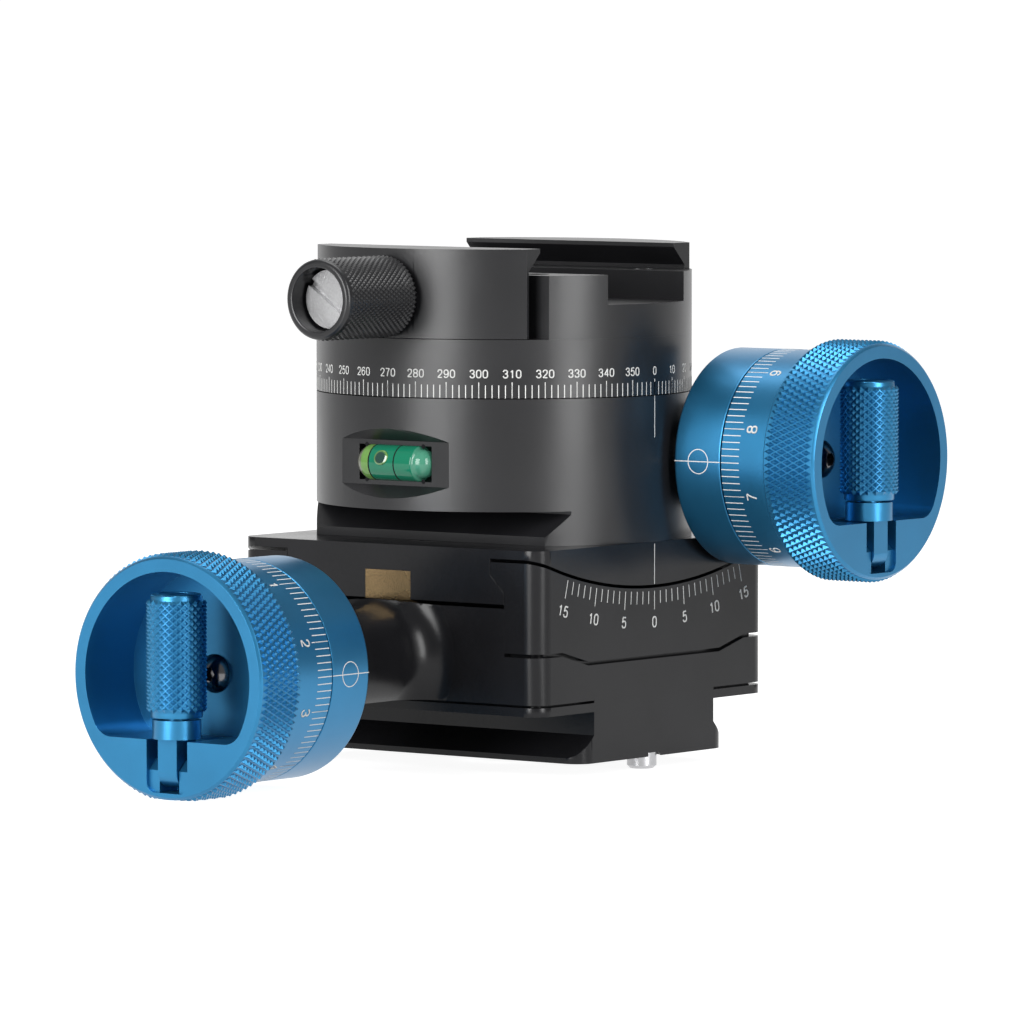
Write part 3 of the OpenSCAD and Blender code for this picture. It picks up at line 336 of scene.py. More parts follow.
class StudioSizes(PropertyGroup):
    """Camera and light."""

    azimuth: degrees("Camera azimuth", "Turn of the view from the +Y direction towards +X", 52.44)
    elevation: degrees("Camera elevation", "Height of the camera over the object's middle", 3.72)
    distance: length("Camera distance", "Distance from the camera to its target", 1.359)
    target_right: length("Target offset", "Target's place to the right of the pan axis", 0.001259)
    target_height: length("Target height", "Target's height over the foot", 0.0375)
    lens: factor("Lens", "Focal length for a 36 mm sensor", 298.4)
    floor_size: length("Floor", "Reach of the floor to each side", 2.2)
    left_angle: degrees("Left strip angle", "Angle of the left light to the right of the camera", -42)
    right_angle: degrees("Right strip angle", "Angle of the right light to the right of the camera", 42)
    strip_lift: degrees("Strip lift", "Height of both strips over the floor, as an angle", 14)
    top_lift: degrees("Top lift", "Height of the top light over the floor, as an angle", 75)
    light_distance: length("Light distance", "Distance of the lights from the object", 1.0)
    left_width: length("Left strip width", "Width of the left light", 0.5)
    strip_width: length("Right strip width", "Width of the right light", 0.34)
    strip_height: length("Strip height", "Height of both strips", 0.9)
    left_power: watts("Left strip power", "Power of the left light", 15.0)
    right_power: watts("Right strip power", "Power of the right light", 10.0)
    top_power: watts("Top power", "Power of the top light", 6.0)
    surround: factor("Surround", "Strength of the even light from all sides", 0.32)
    floor_bend: length("Floor bend", "Radius at which the floor runs up behind the object", 0.5)


def settings(name):
    """The scene's property group of that name."""
    return getattr(bpy.context.scene, name)


# Shader helpers

def set_inputs(node, **values):
    """Sets a node's inputs; an underscore in a name stands for a space in the label."""
    for name, value in values.items():
        node.inputs[name.replace("_", " ")].default_value = value


def add_node(tree, kind, **values):
    """Adds a shader node and sets its inputs."""
    node = tree.nodes.new(f"ShaderNode{kind}")
    set_inputs(node, **values)
    return node


def add_math(tree, operation):
    """Adds a math node."""
    node = tree.nodes.new("ShaderNodeMath")
    node.operation = operation
    return node


def link(tree, *rows):
    """Links nodes; each row holds a node, its output, another node and that one's input."""
    for source, output, target, entry in rows:
        tree.links.new(source.outputs[output], target.inputs[entry])


def colour_ramp(tree, stops):
    """A colour ramp through the given stops, each a place and a colour."""
    ramp = tree.nodes.new("ShaderNodeValToRGB")
    marks = ramp.color_ramp.elements
    while len(marks) < len(stops):
        marks.new(0.5)
    for mark, (position, tint) in zip(marks, stops):
        mark.position = position
        mark.color = (*tint, 1)
    return ramp


def new_group(name, outputs, **inputs):
    """An empty shader node group with float inputs and outputs."""
    tree = bpy.data.node_groups.new(name, "ShaderNodeTree")
    for label, value in inputs.items():
        socket = tree.interface.new_socket(label.replace("_", " "), in_out="INPUT",
                                           socket_type="NodeSocketFloat")
        socket.default_value = value
    for label in outputs:
        tree.interface.new_socket(label, in_out="OUTPUT", socket_type="NodeSocketFloat")
    return tree, tree.nodes.new("NodeGroupInput"), tree.nodes.new("NodeGroupOutput")


def blasted_grain_group():
    """Fine pits of bead blasting: a height for the bump and a tone for the colour."""
    tree, given, result = new_group(
        "Blasted Grain", ("Height", "Tone"), Scale=FINE_GRAIN, Patch_Scale=90.0)
    place = add_node(tree, "TexCoord")
    pits = add_node(tree, "TexNoise", Detail=3.0, Roughness=0.65)
    patches = add_node(tree, "TexNoise", Detail=4.0)
    blend = add_math(tree, "MULTIPLY_ADD")
    blend.inputs[1].default_value = PIT_SHARE
    link(tree,
         (place, "Object", pits, "Vector"),
         (place, "Object", patches, "Vector"),
         (given, "Scale", pits, "Scale"),
         (given, "Patch Scale", patches, "Scale"),
         (pits, "Fac", blend, 0),
         (patches, "Fac", blend, 2),
         (pits, "Fac", result, "Height"),
         (blend, "Value", result, "Tone"))
    return tree


def handled_sheen_group():
    """Uneven gloss of a handled part: a roughness between two values."""
    tree, given, result = new_group(
        "Handled Sheen", ("Roughness",), Scale=60.0, Smooth=0.25, Rough=0.4)
    place = add_node(tree, "TexCoord")
    smudges = add_node(tree, "TexNoise", Detail=6.0, Distortion=0.6)
    spread = add_node(tree, "MapRange", From_Min=0.32, From_Max=0.68)
    link(tree,
         (place, "Object", smudges, "Vector"),
         (given, "Scale", smudges, "Scale"),
         (smudges, "Fac", spread, "Value"),
         (given, "Smooth", spread, "To Min"),
         (given, "Rough", spread, "To Max"),
         (spread, "Result", result, "Roughness"))
    return tree


def place_group(tree, name, **values):
    """Puts a shared group, built at its first use, into a material with its own values."""
    builders = {"Blasted Grain": blasted_grain_group, "Handled Sheen": handled_sheen_group}
    node = tree.nodes.new("ShaderNodeGroup")
    node.node_tree = bpy.data.node_groups.get(name) or builders[name]()
    set_inputs(node, **values)
    return node


# Finishes

def new_finish(name):
    """An empty material, its node tree and its surface shader."""
    material = bpy.data.materials.new(name)
    material.use_nodes = True
    return material, material.node_tree, material.node_tree.nodes["Principled BSDF"]


def machined_finish(name, tint, tone=0.25, smooth=0.25, rough=0.4, grain=FINE_GRAIN, pit=0.3,
                    deep=0.00002, metallic=1.0, specular=0.5, coat=0.0):
    """A metal finish: blasted grain in colour and bump, and uneven gloss."""
    _, tree, surface = new_finish(name)
    grains = place_group(tree, "Blasted Grain", Scale=grain)
    sheen = place_group(tree, "Handled Sheen", Smooth=smooth, Rough=rough)
    dark, pale = ([part * (1 + change) for part in tint] for change in (-tone, tone))
    ramp = colour_ramp(tree, [(DARK_TONE, dark), (PALE_TONE, pale)])
    bump = add_node(tree, "Bump", Strength=pit, Distance=deep)
    link(tree,
         (grains, "Tone", ramp, "Fac"),
         (ramp, "Color", surface, "Base Color"),
         (sheen, "Roughness", surface, "Roughness"),
         (grains, "Height", bump, "Height"),
         (bump, "Normal", surface, "Normal"))
    set_inputs(surface, Metallic=metallic, Specular_IOR_Level=specular, Coat_Weight=coat,
               Coat_Roughness=rough * COAT_GLOSS)


def fluid_finish(colours):
    """Bright fluid behind clear acrylic, with a faint painted glow: a pale end, the fluid, a lime band and a clear
    end.
    """
    level = settings("head_level")
    low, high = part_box("level_vial")
    half = (high.y - low.y) / 2
    plug, ring, lime = (
        (place + half) / (2 * half) for place in (level.plug_at, level.ring_left, level.lime_end))
    _, tree, surface = new_finish("level_fluid")
    place = add_node(tree, "TexCoord")
    split = add_node(tree, "SeparateXYZ")
    along = add_node(tree, "MapRange", From_Min=low.y, From_Max=high.y)
    bands = colour_ramp(tree, [
        (0.0, colours.pale_end), (plug, colours.pale_end),
        (plug + BAND_BLEND, colours.fluid), (ring, colours.fluid),
        (ring + BAND_BLEND, colours.lime), (lime, colours.lime),
        (lime + 2 * BAND_BLEND, colours.clear_end)])
    sheen = place_group(tree, "Handled Sheen", Scale=400.0, Smooth=0.05, Rough=0.12)
    link(tree,
         (place, "Object", split, "Vector"),
         (split, "Y", along, "Value"),
         (along, "Result", bands, "Fac"),
         (bands, "Color", surface, "Base Color"),
         (bands, "Color", surface, "Emission Color"),
         (sheen, "Roughness", surface, "Roughness"))
    # Painted glow: the fluid shines faintly in the colour of its bands, though it is no lamp.
    set_inputs(surface, Emission_Strength=0.12, Specular_IOR_Level=0.4)


def bubble_finish(colours):
    """An air bubble with painted refraction: a painted dark middle, and a painted lime rim where its edge bends
    the light.
    """
    level = settings("head_level")
    low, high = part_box("level_vial")
    centre = (low + high) / 2 + Vector((0, level.bubble_at, level.bubble_rise))
    reach = Vector((0, 2 / level.bubble_long, 2 / level.bubble_wide))
    _, tree, surface = new_finish("level_air")
    place = add_node(tree, "TexCoord")
    fit = add_node(tree, "Mapping", Scale=reach, Location=-centre * reach)
    inward = add_node(tree, "TexGradient")
    inward.gradient_type = "SPHERICAL"
    # Painted refraction: the base colour runs from the lime rim to the dark middle by distance from the bubble's
    # middle.
    bands = colour_ramp(tree, [(0.1, colours.lime), (0.34, colours.bubble)])
    link(tree,
         (place, "Object", fit, "Vector"),
         (fit, "Vector", inward, "Vector"),
         (inward, "Fac", bands, "Fac"),
         (bands, "Color", surface, "Base Color"))
    set_inputs(surface, Roughness=0.06, Coat_Weight=1.0)


def finishes():
    """Every finish of the head by its name, built at the first use."""
    colours = settings("head_colours")
    known = bpy.data.materials
    if "filled_paint" in known:
        return known
    machined_finish("black_anodised_finish", colours.black, smooth=0.29, rough=0.34, pit=0.3,
                    metallic=0.0, specular=0.47)
    machined_finish("black_base_finish", colours.black, smooth=0.2, rough=0.26, pit=0.3,
                    metallic=0.0, specular=0.24)
    machined_finish("blue_anodised_finish", colours.blue, tone=0.1, smooth=0.32, rough=0.38,
                    pit=0.14, metallic=0.85, coat=0.3)
    machined_finish("bright_steel_finish", colours.steel, tone=0.15, smooth=0.28, rough=0.4,
                    pit=0.12)
    machined_finish("worn_steel_finish", colours.worn_steel, tone=0.3, smooth=0.3, rough=0.46,
                    grain=COARSE_GRAIN, pit=1.0, deep=0.00004)
    machined_finish("dark_steel_finish", colours.dark_steel, smooth=0.16, rough=0.28, pit=0.2)
    machined_finish("brass_finish", colours.brass, tone=0.4, smooth=0.22, rough=0.32,
                    grain=COARSE_GRAIN, pit=1.0, deep=0.00008)
    machined_finish("bronze_finish", colours.bronze, tone=0.2, smooth=0.25, rough=0.4, pit=0.2)
    fluid_finish(colours)
    bubble_finish(colours)
    # Flat black for the level's painted rings and for the painted shade in its corner reliefs.
    machined_finish("black_paint_and_shade", colours.black, smooth=0.7, rough=0.9, metallic=0.0, specular=0.1)
    machined_finish("filled_paint", colours.paint, tone=0.06, smooth=0.5, rough=0.65, pit=0.1,
                    metallic=0.0)
    return known


# Mesh helpers

def add_piece(shape, name, finish, body):
    """Turns a bmesh into a piece that rides on a body."""
    bmesh.ops.recalc_face_normals(shape, faces=shape.faces)
    mesh = bpy.data.meshes.new(name)
    shape.to_mesh(mesh)
    shape.free()
    mesh.materials.append(finishes()[finish])
    piece = bpy.data.objects.new(name, mesh)
    bpy.context.collection.objects.link(piece)
    if body:
        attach(piece, body)
    return piece


def shade_smooth(piece):
    """Smooth shading all over a piece."""
    for face in piece.data.polygons:
        face.use_smooth = True


def whole(verts):
    """The points with all the edges and faces that meet in them."""
    edges = {edge for vert in verts for edge in vert.link_edges}
    faces = {face for vert in verts for face in vert.link_faces}
    return list(verts) + list(edges) + list(faces)


def repeat_round(shape, verts, times):
    """Copies the points and their faces round the local z axis, evenly over a full turn."""
    bmesh.ops.spin(shape, geom=whole(verts), cent=(0, 0, 0), axis=(0, 0, 1), dvec=(0, 0, 0),
                   angle=FULL_TURN / times * (times - 1), steps=times - 1, use_duplicate=True)


def knurl_band(shape, radius, height, columns, rows, start, end):
    """Diamond points round the z axis, from start to end, standing on a cylinder."""
    width = FULL_TURN * radius / columns
    pitch = (end - start) / rows
    sink = height * KNURL_SINK
    lie = Matrix.Diagonal((width / 2, pitch / 2, 1, 1))
    points = []
    places = [(start + pitch * (row + 0.5), 0.0) for row in range(rows)]
    places += [(start + pitch * row, FULL_TURN / columns / 2) for row in range(1, rows)]
    for z, turn in places:
        put = Matrix.Rotation(turn, 4, "Z")
        put = put @ Matrix.Translation((radius + (height - sink) / 2, 0, z)) @ POINT_OUTWARD @ lie
        made = bmesh.ops.create_cone(
            shape, cap_ends=True, cap_tris=False, segments=4, radius1=1, radius2=KNURL_CREST,
            depth=height + sink, matrix=put)
        points += made["verts"]
    repeat_round(shape, points, columns)


def round_tick(shape, radius, angle, start, end):
    """One filled line along the z axis, on a cylinder."""
    marks = settings("head_scales")
    put = Matrix.Rotation(angle, 4, "Z")
    put = put @ Matrix.Translation((radius + marks.proud - marks.fill / 2, 0, (start + end) / 2))
    put = put @ Matrix.Diagonal((marks.fill, marks.line, abs(end - start), 1))
    return bmesh.ops.create_cube(shape, size=1, matrix=put)["verts"]


def number_mesh(text, height):
    """A centred number as flat strokes: x to the right, y up, z out of the surface."""
    marks = settings("head_scales")
    stroke = height * marks.digit_stroke
    width = height * marks.digit_width - stroke
    pitch = height * (marks.digit_width + marks.digit_gap)
    curve = bpy.data.curves.new("number", "CURVE")
    curve.dimensions = "3D"
    curve.bevel_depth = stroke / 2
    curve.bevel_resolution = 0
    curve.resolution_u = 4
    curve.use_fill_caps = True
    for place, digit in enumerate(text):
        left = (place - (len(text) - 1) / 2) * pitch - width / 2
        for points in DIGIT_STROKES[digit]:
            closed = points[0] == points[-1]
            knots = points[:-1] if closed else points
            line = curve.splines.new("BEZIER")
            line.use_cyclic_u = closed
            line.bezier_points.add(len(knots) - 1)
            for knot, (x, y) in zip(line.bezier_points, knots):
                knot.co = (left + x * width, (y - 0.5) * (height - stroke), 0)
            for knot in line.bezier_points:
                knot.handle_left_type = "AUTO"
                knot.handle_right_type = "AUTO"
    holder = bpy.data.objects.new("number", curve)
    mesh = bpy.data.meshes.new_from_object(holder)
    bpy.data.objects.remove(holder)
    bpy.data.curves.remove(curve)
    flatten = Matrix.Diagonal((1, 1, marks.fill / stroke, 1))
    mesh.transform(Matrix.Translation((0, 0, marks.fill / 2)) @ flatten)
    return mesh


def add_number(shape, text, height, where):
    """Adds a number to a shape, each point put in place by the function where."""
    mesh = number_mesh(text, height)
    known = set(shape.verts)
    shape.from_mesh(mesh)
    bpy.data.meshes.remove(mesh)
    for vert in shape.verts:
        if vert not in known:
            vert.co = where(vert.co)


def on_cylinder(radius, angle, z, along_axis=False):
    """Lays flat points on a cylinder round z; along_axis turns them with their tops towards -z."""
    marks = settings("head_scales")
    middle = radius + marks.proud - marks.fill / 2

    def place(point):
        reach = middle + point.z
        side, rise = (-point.x, -point.y) if along_axis else (point.x, point.y)
        turn = angle + side / radius
        return Vector((reach * math.cos(turn), reach * math.sin(turn), z + rise))

    return place


def turn_round_y(shape, outline, middle):
    """Turns an outline of places along y and radii into a solid round a line along y."""
    known = set(shape.verts)
    verts = [shape.verts.new((out, along, 0)) for along, out in outline]
    edges = [shape.edges.new(pair) for pair in zip(verts, verts[1:])]
    if outline[0][1] > 0:
        edges.append(shape.edges.new((verts[-1], verts[0])))
    bmesh.ops.spin(shape, geom=verts + edges, cent=(0, 0, 0), axis=(0, 1, 0), dvec=(0, 0, 0),
                   angle=FULL_TURN, steps=ROUND_STEPS, use_merge=True)
    fresh = [vert for vert in shape.verts if vert not in known]
    bmesh.ops.translate(shape, vec=middle, verts=fresh)
    bmesh.ops.remove_doubles(shape, verts=shape.verts, dist=MERGE_REACH)


def knob_place(name):
    """Where a drive knob's own axes lie: z runs out along its axis from the barrel's back."""
    low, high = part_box(f"{name}_knob")
    middle = (low + high) / 2
    if name == "tilt":
        return Matrix.Translation((high.x, middle.y, middle.z)) @ TILT_KNOB_TURN
    return Matrix.Translation((middle.x, high.y, middle.z)) @ PAN_KNOB_TURN


# Operators

class HEAD_OT_finish_parts(Operator):
    """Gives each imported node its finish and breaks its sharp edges"""

    bl_idname = "head.finish_parts"
    bl_label = "Finish Parts"

    def execute(self, context):
        edges = settings("head_edges")
        finishes()
        for row in RECORD["subparts"]:
            node = NODES[row["node"]]
            node.data.materials.clear()
            finish = FINISH_OF_NODE.get(row["node"], FINISH_OF_SLOT[row["material_slot"]])
            node.data.materials.append(finishes()[finish])
            if row["node"] in FACETED_NODES:
                continue
            weld = node.modifiers.new("Join Faces", "WELD")
            weld.merge_threshold = WELD_REACH
            bevel = node.modifiers.new("Broken Edges", "BEVEL")
            bevel.limit_method = "ANGLE"
            bevel.angle_limit = edges.angle
            bevel.width = edges.width
            bevel.segments = EDGE_SEGMENTS
            bevel.use_clamp_overlap = True
            level = node.modifiers.new("Even Shading", "WEIGHTED_NORMAL")
            level.keep_sharp = True
        return {"FINISHED"}


class HEAD_OT_add_knurls(Operator):
    """Cuts the diamond knurls of the drive knobs, the crank grips and the clamp knob"""

    bl_idname = "head.add_knurls"
    bl_label = "Add Knurls"

    def execute(self, context):
        sizes = settings("head_knurls")
        marks = settings("head_scales")
        for name in ("tilt", "pan"):
            low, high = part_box(f"{name}_knob")
            rim_radius = (high.z - low.z) / 2
            knob_length = high.x - low.x if name == "tilt" else high.y - low.y
            shape = bmesh.new()
            knurl_band(shape, rim_radius, sizes.rim_height, sizes.rim_columns, sizes.rim_rows,
                       marks.barrel_length + sizes.rim_edge, knob_length - sizes.rim_edge)
            bmesh.ops.transform(shape, matrix=knob_place(name), verts=shape.verts)
            add_piece(shape, f"{name}_knob_knurl", "blue_anodised_finish", f"{name}_knob")
            low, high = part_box(f"{name}_grip")
            middle = (low + high) / 2
            shape = bmesh.new()
            knurl_band(shape, (high.y - low.y) / 2, sizes.grip_height, sizes.grip_columns,
                       sizes.grip_rows, low.z + sizes.grip_edge, high.z - sizes.grip_edge)
            bmesh.ops.translate(shape, vec=(middle.x, middle.y, 0), verts=shape.verts)
            add_piece(shape, f"{name}_grip_knurl", "blue_anodised_finish", f"{name}_grip")
        low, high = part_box("clamp_knob")
        middle = (low + high) / 2
        shape = bmesh.new()
        knurl_band(shape, (high.z - low.z) / 2, sizes.clamp_height, sizes.clamp_columns,
                   sizes.clamp_rows, sizes.clamp_edge, high.x - low.x - sizes.clamp_edge)
        put = Matrix.Translation((high.x, middle.y, middle.z)) @ TILT_KNOB_TURN
        bmesh.ops.transform(shape, matrix=put, verts=shape.verts)
        add_piece(shape, "clamp_knob_knurl", "black_anodised_finish", "clamp_knob")
        return {"FINISHED"}


class HEAD_OT_add_pan_scale(Operator):
    """Inlays the degree scale of the pan ring and its index line"""

    bl_idname = "head.add_pan_scale"
    bl_label = "Add Pan Scale"

    def execute(self, context):
        marks = settings("head_scales")
        low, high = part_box("pan_ring")
        radius = (high.x - low.x) / 2
        front = -math.pi / 2
        shape = bmesh.new()
        for reach, times in ((marks.pan_minor, PAN_LINES), (marks.pan_major, PAN_NUMBERS)):
            tick = round_tick(shape, radius, front, low.z, low.z + reach)
            repeat_round(shape, tick, times)
        height = low.z + marks.pan_digits_at + marks.pan_digits / 2
        for value in range(0, 360, 360 // PAN_NUMBERS):
            angle = front + math.radians(value)
            add_number(shape, str(value), marks.pan_digits, on_cylinder(radius, angle, height))
        add_piece(shape, "pan_scale", "filled_paint", "pan_top")
        base_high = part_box("pan_base")[1]
        shape = bmesh.new()
        round_tick(shape, radius, front, base_high.z - marks.pan_index, base_high.z)
        add_piece(shape, "pan_index_line", "filled_paint", "cradle")
        return {"FINISHED"}


class HEAD_OT_add_tilt_scale(Operator):
    """Inlays the degree scale of the front plate and the cradle's index line"""

    bl_idname = "head.add_tilt_scale"
    bl_label = "Add Tilt Scale"

    def execute(self, context):
        marks = settings("head_scales")
        axis = next(joint for joint in frame["joints"] if joint["name"] == "tilt")["pos_m"]
        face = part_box("front_scale_plate")[0].y
        stand = Matrix.Translation((0, face, axis[2])) @ PAN_KNOB_TURN
        shape = bmesh.new()
        for degree in range(-marks.tilt_reach, marks.tilt_reach + 1):
            numbered = degree % TILT_STEP == 0
            reach = marks.tilt_major if numbered else marks.tilt_minor
            swing = Matrix.Rotation(math.radians(degree), 4, "Z")
            put = swing @ Matrix.Translation((0, -marks.tilt_radius - reach / 2, 0))
            put = put @ Matrix.Diagonal((marks.line, reach, marks.fill, 1))
            bmesh.ops.create_cube(shape, size=1, matrix=put)
            if numbered:
                put = swing @ Matrix.Translation((0, -marks.tilt_digits_radius, 0))
                add_number(shape, str(abs(degree)), marks.tilt_digits, lambda p, put=put: put @ p)
        lift = Matrix.Translation((0, 0, marks.proud - marks.fill / 2))
        bmesh.ops.transform(shape, matrix=stand @ lift, verts=shape.verts)
        add_piece(shape, "tilt_scale", "filled_paint", "base")
        shape = bmesh.new()
        foot, head = marks.tilt_index_low, marks.tilt_index_high
        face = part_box("cradle")[0].y
        put = Matrix.Translation((0, face - marks.proud + marks.fill / 2, (foot + head) / 2))
        put = put @ Matrix.Diagonal((marks.line, marks.fill, head - foot, 1))
        bmesh.ops.create_cube(shape, size=1, matrix=put)
        add_piece(shape, "tilt_index_line", "filled_paint", "cradle")
        return {"FINISHED"}


def barrel_scale(name):
    """The hundred lines and ten numbers of a knob barrel."""
    marks = settings("head_scales")
    radius = marks.barrel_radius
    start = math.pi / 2
    shape = bmesh.new()
    for reach, times in ((marks.knob_minor, KNOB_LINES), (marks.knob_major, KNOB_NUMBERS)):
        repeat_round(shape, round_tick(shape, radius, start, 0, reach), times)
    for value in range(KNOB_NUMBERS):
        angle = start - value * FULL_TURN / KNOB_NUMBERS
        add_number(shape, str(value), marks.knob_digits,
                   on_cylinder(radius, angle, marks.knob_digits_at, along_axis=True))
    bmesh.ops.transform(shape, matrix=knob_place(name), verts=shape.verts)
    add_piece(shape, f"{name}_knob_scale", "filled_paint", f"{name}_knob")


def index_mark(name, body, angle):
    """The line and circle of an index ring, at an angle round its axis."""
    marks = settings("head_scales")
    low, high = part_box(f"{name}_index_ring")
    radius = (high.z - low.z) / 2
    span = high.x - low.x if name == "tilt" else high.y - low.y
    shape = bmesh.new()
    outer = bmesh.ops.create_circle(shape, cap_ends=True, segments=CIRCLE_STEPS,
                                    radius=marks.index_circle / 2)
    disc = outer["verts"][0].link_faces[0]
    bmesh.ops.inset_region(shape, faces=[disc], thickness=marks.line, use_boundary=True,
                           use_even_offset=True)
    inner = [face for face in shape.faces if len(face.verts) == CIRCLE_STEPS]
    bmesh.ops.delete(shape, geom=inner, context="FACES_ONLY")
    bmesh.ops.solidify(shape, geom=list(shape.faces), thickness=marks.fill)
    depths = [vert.co.z for vert in shape.verts]
    bmesh.ops.translate(shape, vec=(0, 0, -(min(depths) + max(depths)) / 2), verts=shape.verts)
    lay = on_cylinder(radius, angle, -span / 2)
    for vert in shape.verts:
        vert.co = lay(vert.co)
    round_tick(shape, radius, angle, -span, -marks.index_gap)
    bmesh.ops.transform(shape, matrix=knob_place(name), verts=shape.verts)
    add_piece(shape, f"{name}_index_mark", "filled_paint", body)


class HEAD_OT_add_knob_scales(Operator):
    """Inlays the hundred lines of each knob barrel and the mark of each index ring"""

    bl_idname = "head.add_knob_scales"
    bl_label = "Add Knob Scales"

    def execute(self, context):
        for name in ("tilt", "pan"):
            barrel_scale(name)
        index_mark("tilt", "base", 0.0)
        index_mark("pan", "cradle", math.pi)
        return {"FINISHED"}


def level_vial(middle, radius, half):
    """The domed tube of the level, in place of the plain CAD vial."""
    shape = bmesh.new()
    turn_round_y(shape, [(half * along, radius * out) for along, out in VIAL_OUTLINE], middle)
    vial = add_piece(shape, "level_vial_filled", "level_fluid", "cradle")
    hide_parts("level_vial")
    shade_smooth(vial)


def level_rings(middle, radius):
    """The two painted rings round the tube."""
    sizes = settings("head_level")
    shape = bmesh.new()
    for place in (sizes.ring_left, sizes.ring_right):
        near, far = place - sizes.ring_width / 2, place + sizes.ring_width / 2
        outer = radius + sizes.ring_proud
        turn_round_y(shape, [(near, radius), (near, outer), (far, outer), (far, radius)], middle)
    add_piece(shape, "level_rings", "black_paint_and_shade", "cradle")


def level_bubble(middle, radius):
    """The bubble, which lies flat under the top of the tube."""
    sizes = settings("head_level")
    shape = bmesh.new()
    lift = math.asin(sizes.bubble_rise / radius)
    put = Matrix.Translation(middle + Vector((0, sizes.bubble_at, 0)))
    put = put @ Matrix.Rotation(lift, 4, "Y") @ Matrix.Translation((-radius, 0, 0))
    put = put @ Matrix.Diagonal((sizes.bubble_proud, sizes.bubble_long / 2, sizes.bubble_wide / 2, 1))
    bmesh.ops.create_uvsphere(shape, u_segments=BUBBLE_STEPS,
                              v_segments=BUBBLE_STEPS // 2, radius=1, matrix=put)
    shade_smooth(add_piece(shape, "level_bubble", "level_air", "cradle"))


def level_reliefs(middle, radius):
    """Dark discs of painted shade in the four round reliefs at the corners of the level's slot."""
    sizes = settings("head_level")
    shape = bmesh.new()
    flat = middle.x - sizes.sink
    mouth = math.sqrt(radius * radius - sizes.sink * sizes.sink)
    for along in (sizes.relief_left, sizes.relief_right):
        for side in (-1, 1):
            where = (flat, middle.y + along, middle.z + side * mouth)
            put = Matrix.Translation(where) @ POINT_OUTWARD
            bmesh.ops.create_cone(
                shape, cap_ends=True, segments=RELIEF_STEPS, radius1=sizes.relief / 2,
                radius2=sizes.relief / 2, depth=sizes.relief_depth, matrix=put)
    add_piece(shape, "level_reliefs", "black_paint_and_shade", "cradle")


class HEAD_OT_add_level(Operator):
    """Turns the domed tube of the spirit level, with its rings, bubble and dark discs of painted shade in its
    corner reliefs
    """

    bl_idname = "head.add_level"
    bl_label = "Add Level"

    def execute(self, context):
        low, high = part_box("level_vial")
        middle = (low + high) / 2
        radius = (high.z - low.z) / 2
        level_vial(middle, radius, (high.y - low.y) / 2)
        level_rings(middle, radius)
        level_bubble(middle, radius)
        level_reliefs(middle, radius)
        return {"FINISHED"}


class HEAD_OT_add_springs(Operator):
    """Winds the jaw's return springs, which squeeze between the clamp body and the jaw"""

    bl_idname = "head.add_springs"
    bl_label = "Add Springs"

    def execute(self, context):
        sizes = settings("head_springs")
        low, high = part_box("clamp_springs")
        coil_radius = (high.z - low.z - sizes.wire) / 2
        spread = (high.y - low.y) / 2 - coil_radius - sizes.wire / 2
        centre = (low + high) / 2
        climb = high.x - low.x - sizes.wire
        steps = sizes.turns * COIL_STEPS
        shape = bmesh.new()
        for side in (-1, 1):
            known = set(shape.verts)
            stand = Matrix.Translation((coil_radius, 0, 0)) @ Matrix.Rotation(math.pi / 2, 4, "X")
            wire = bmesh.ops.create_circle(shape, cap_ends=True, segments=WIRE_STEPS,
                                           radius=sizes.wire / 2, matrix=stand)["verts"]
            bmesh.ops.spin(shape, geom=whole(wire), cent=(0, 0, 0), axis=(0, 0, 1),
                           dvec=(0, 0, climb / steps), angle=FULL_TURN * sizes.turns, steps=steps)
            fresh = [vert for vert in shape.verts if vert not in known]
            put = Matrix.Translation((low.x + sizes.wire / 2, centre.y + side * spread, centre.z))
            put = put @ Matrix.Rotation(math.pi / 2, 4, "Y")
            bmesh.ops.transform(shape, matrix=put, verts=fresh)
        coils = add_piece(shape, "clamp_return_springs", "bright_steel_finish", None)
        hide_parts("clamp_springs")
        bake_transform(coils)
        return {"FINISHED"}


# Stage

def seen_directly(tree):
    """One where the camera, a mirror or a glass looks, and zero for diffuse light."""
    path = add_node(tree, "LightPath")
    either = add_math(tree, "MAXIMUM")
    any_of_three = add_math(tree, "MAXIMUM")
    link(tree,
         (path, "Is Camera Ray", either, 0),
         (path, "Is Glossy Ray", either, 1),
         (either, "Value", any_of_three, 0),
         (path, "Is Transmission Ray", any_of_three, 1))
    return any_of_three


def floor_finish():
    """Pale floor that shows white to the camera and keeps the object's shadow."""
    material, tree, surface = new_finish("pale_floor")
    set_inputs(surface, Base_Color=FLOOR_TONE, Roughness=0.9, Specular_IOR_Level=0.0,
               Emission_Color=WHITE, Emission_Strength=0.0)
    share = add_math(tree, "MULTIPLY")
    share.inputs[1].default_value = FLOOR_GLOW
    link(tree, (seen_directly(tree), "Value", share, 0),
         (share, "Value", surface, "Emission Strength"))
    return material


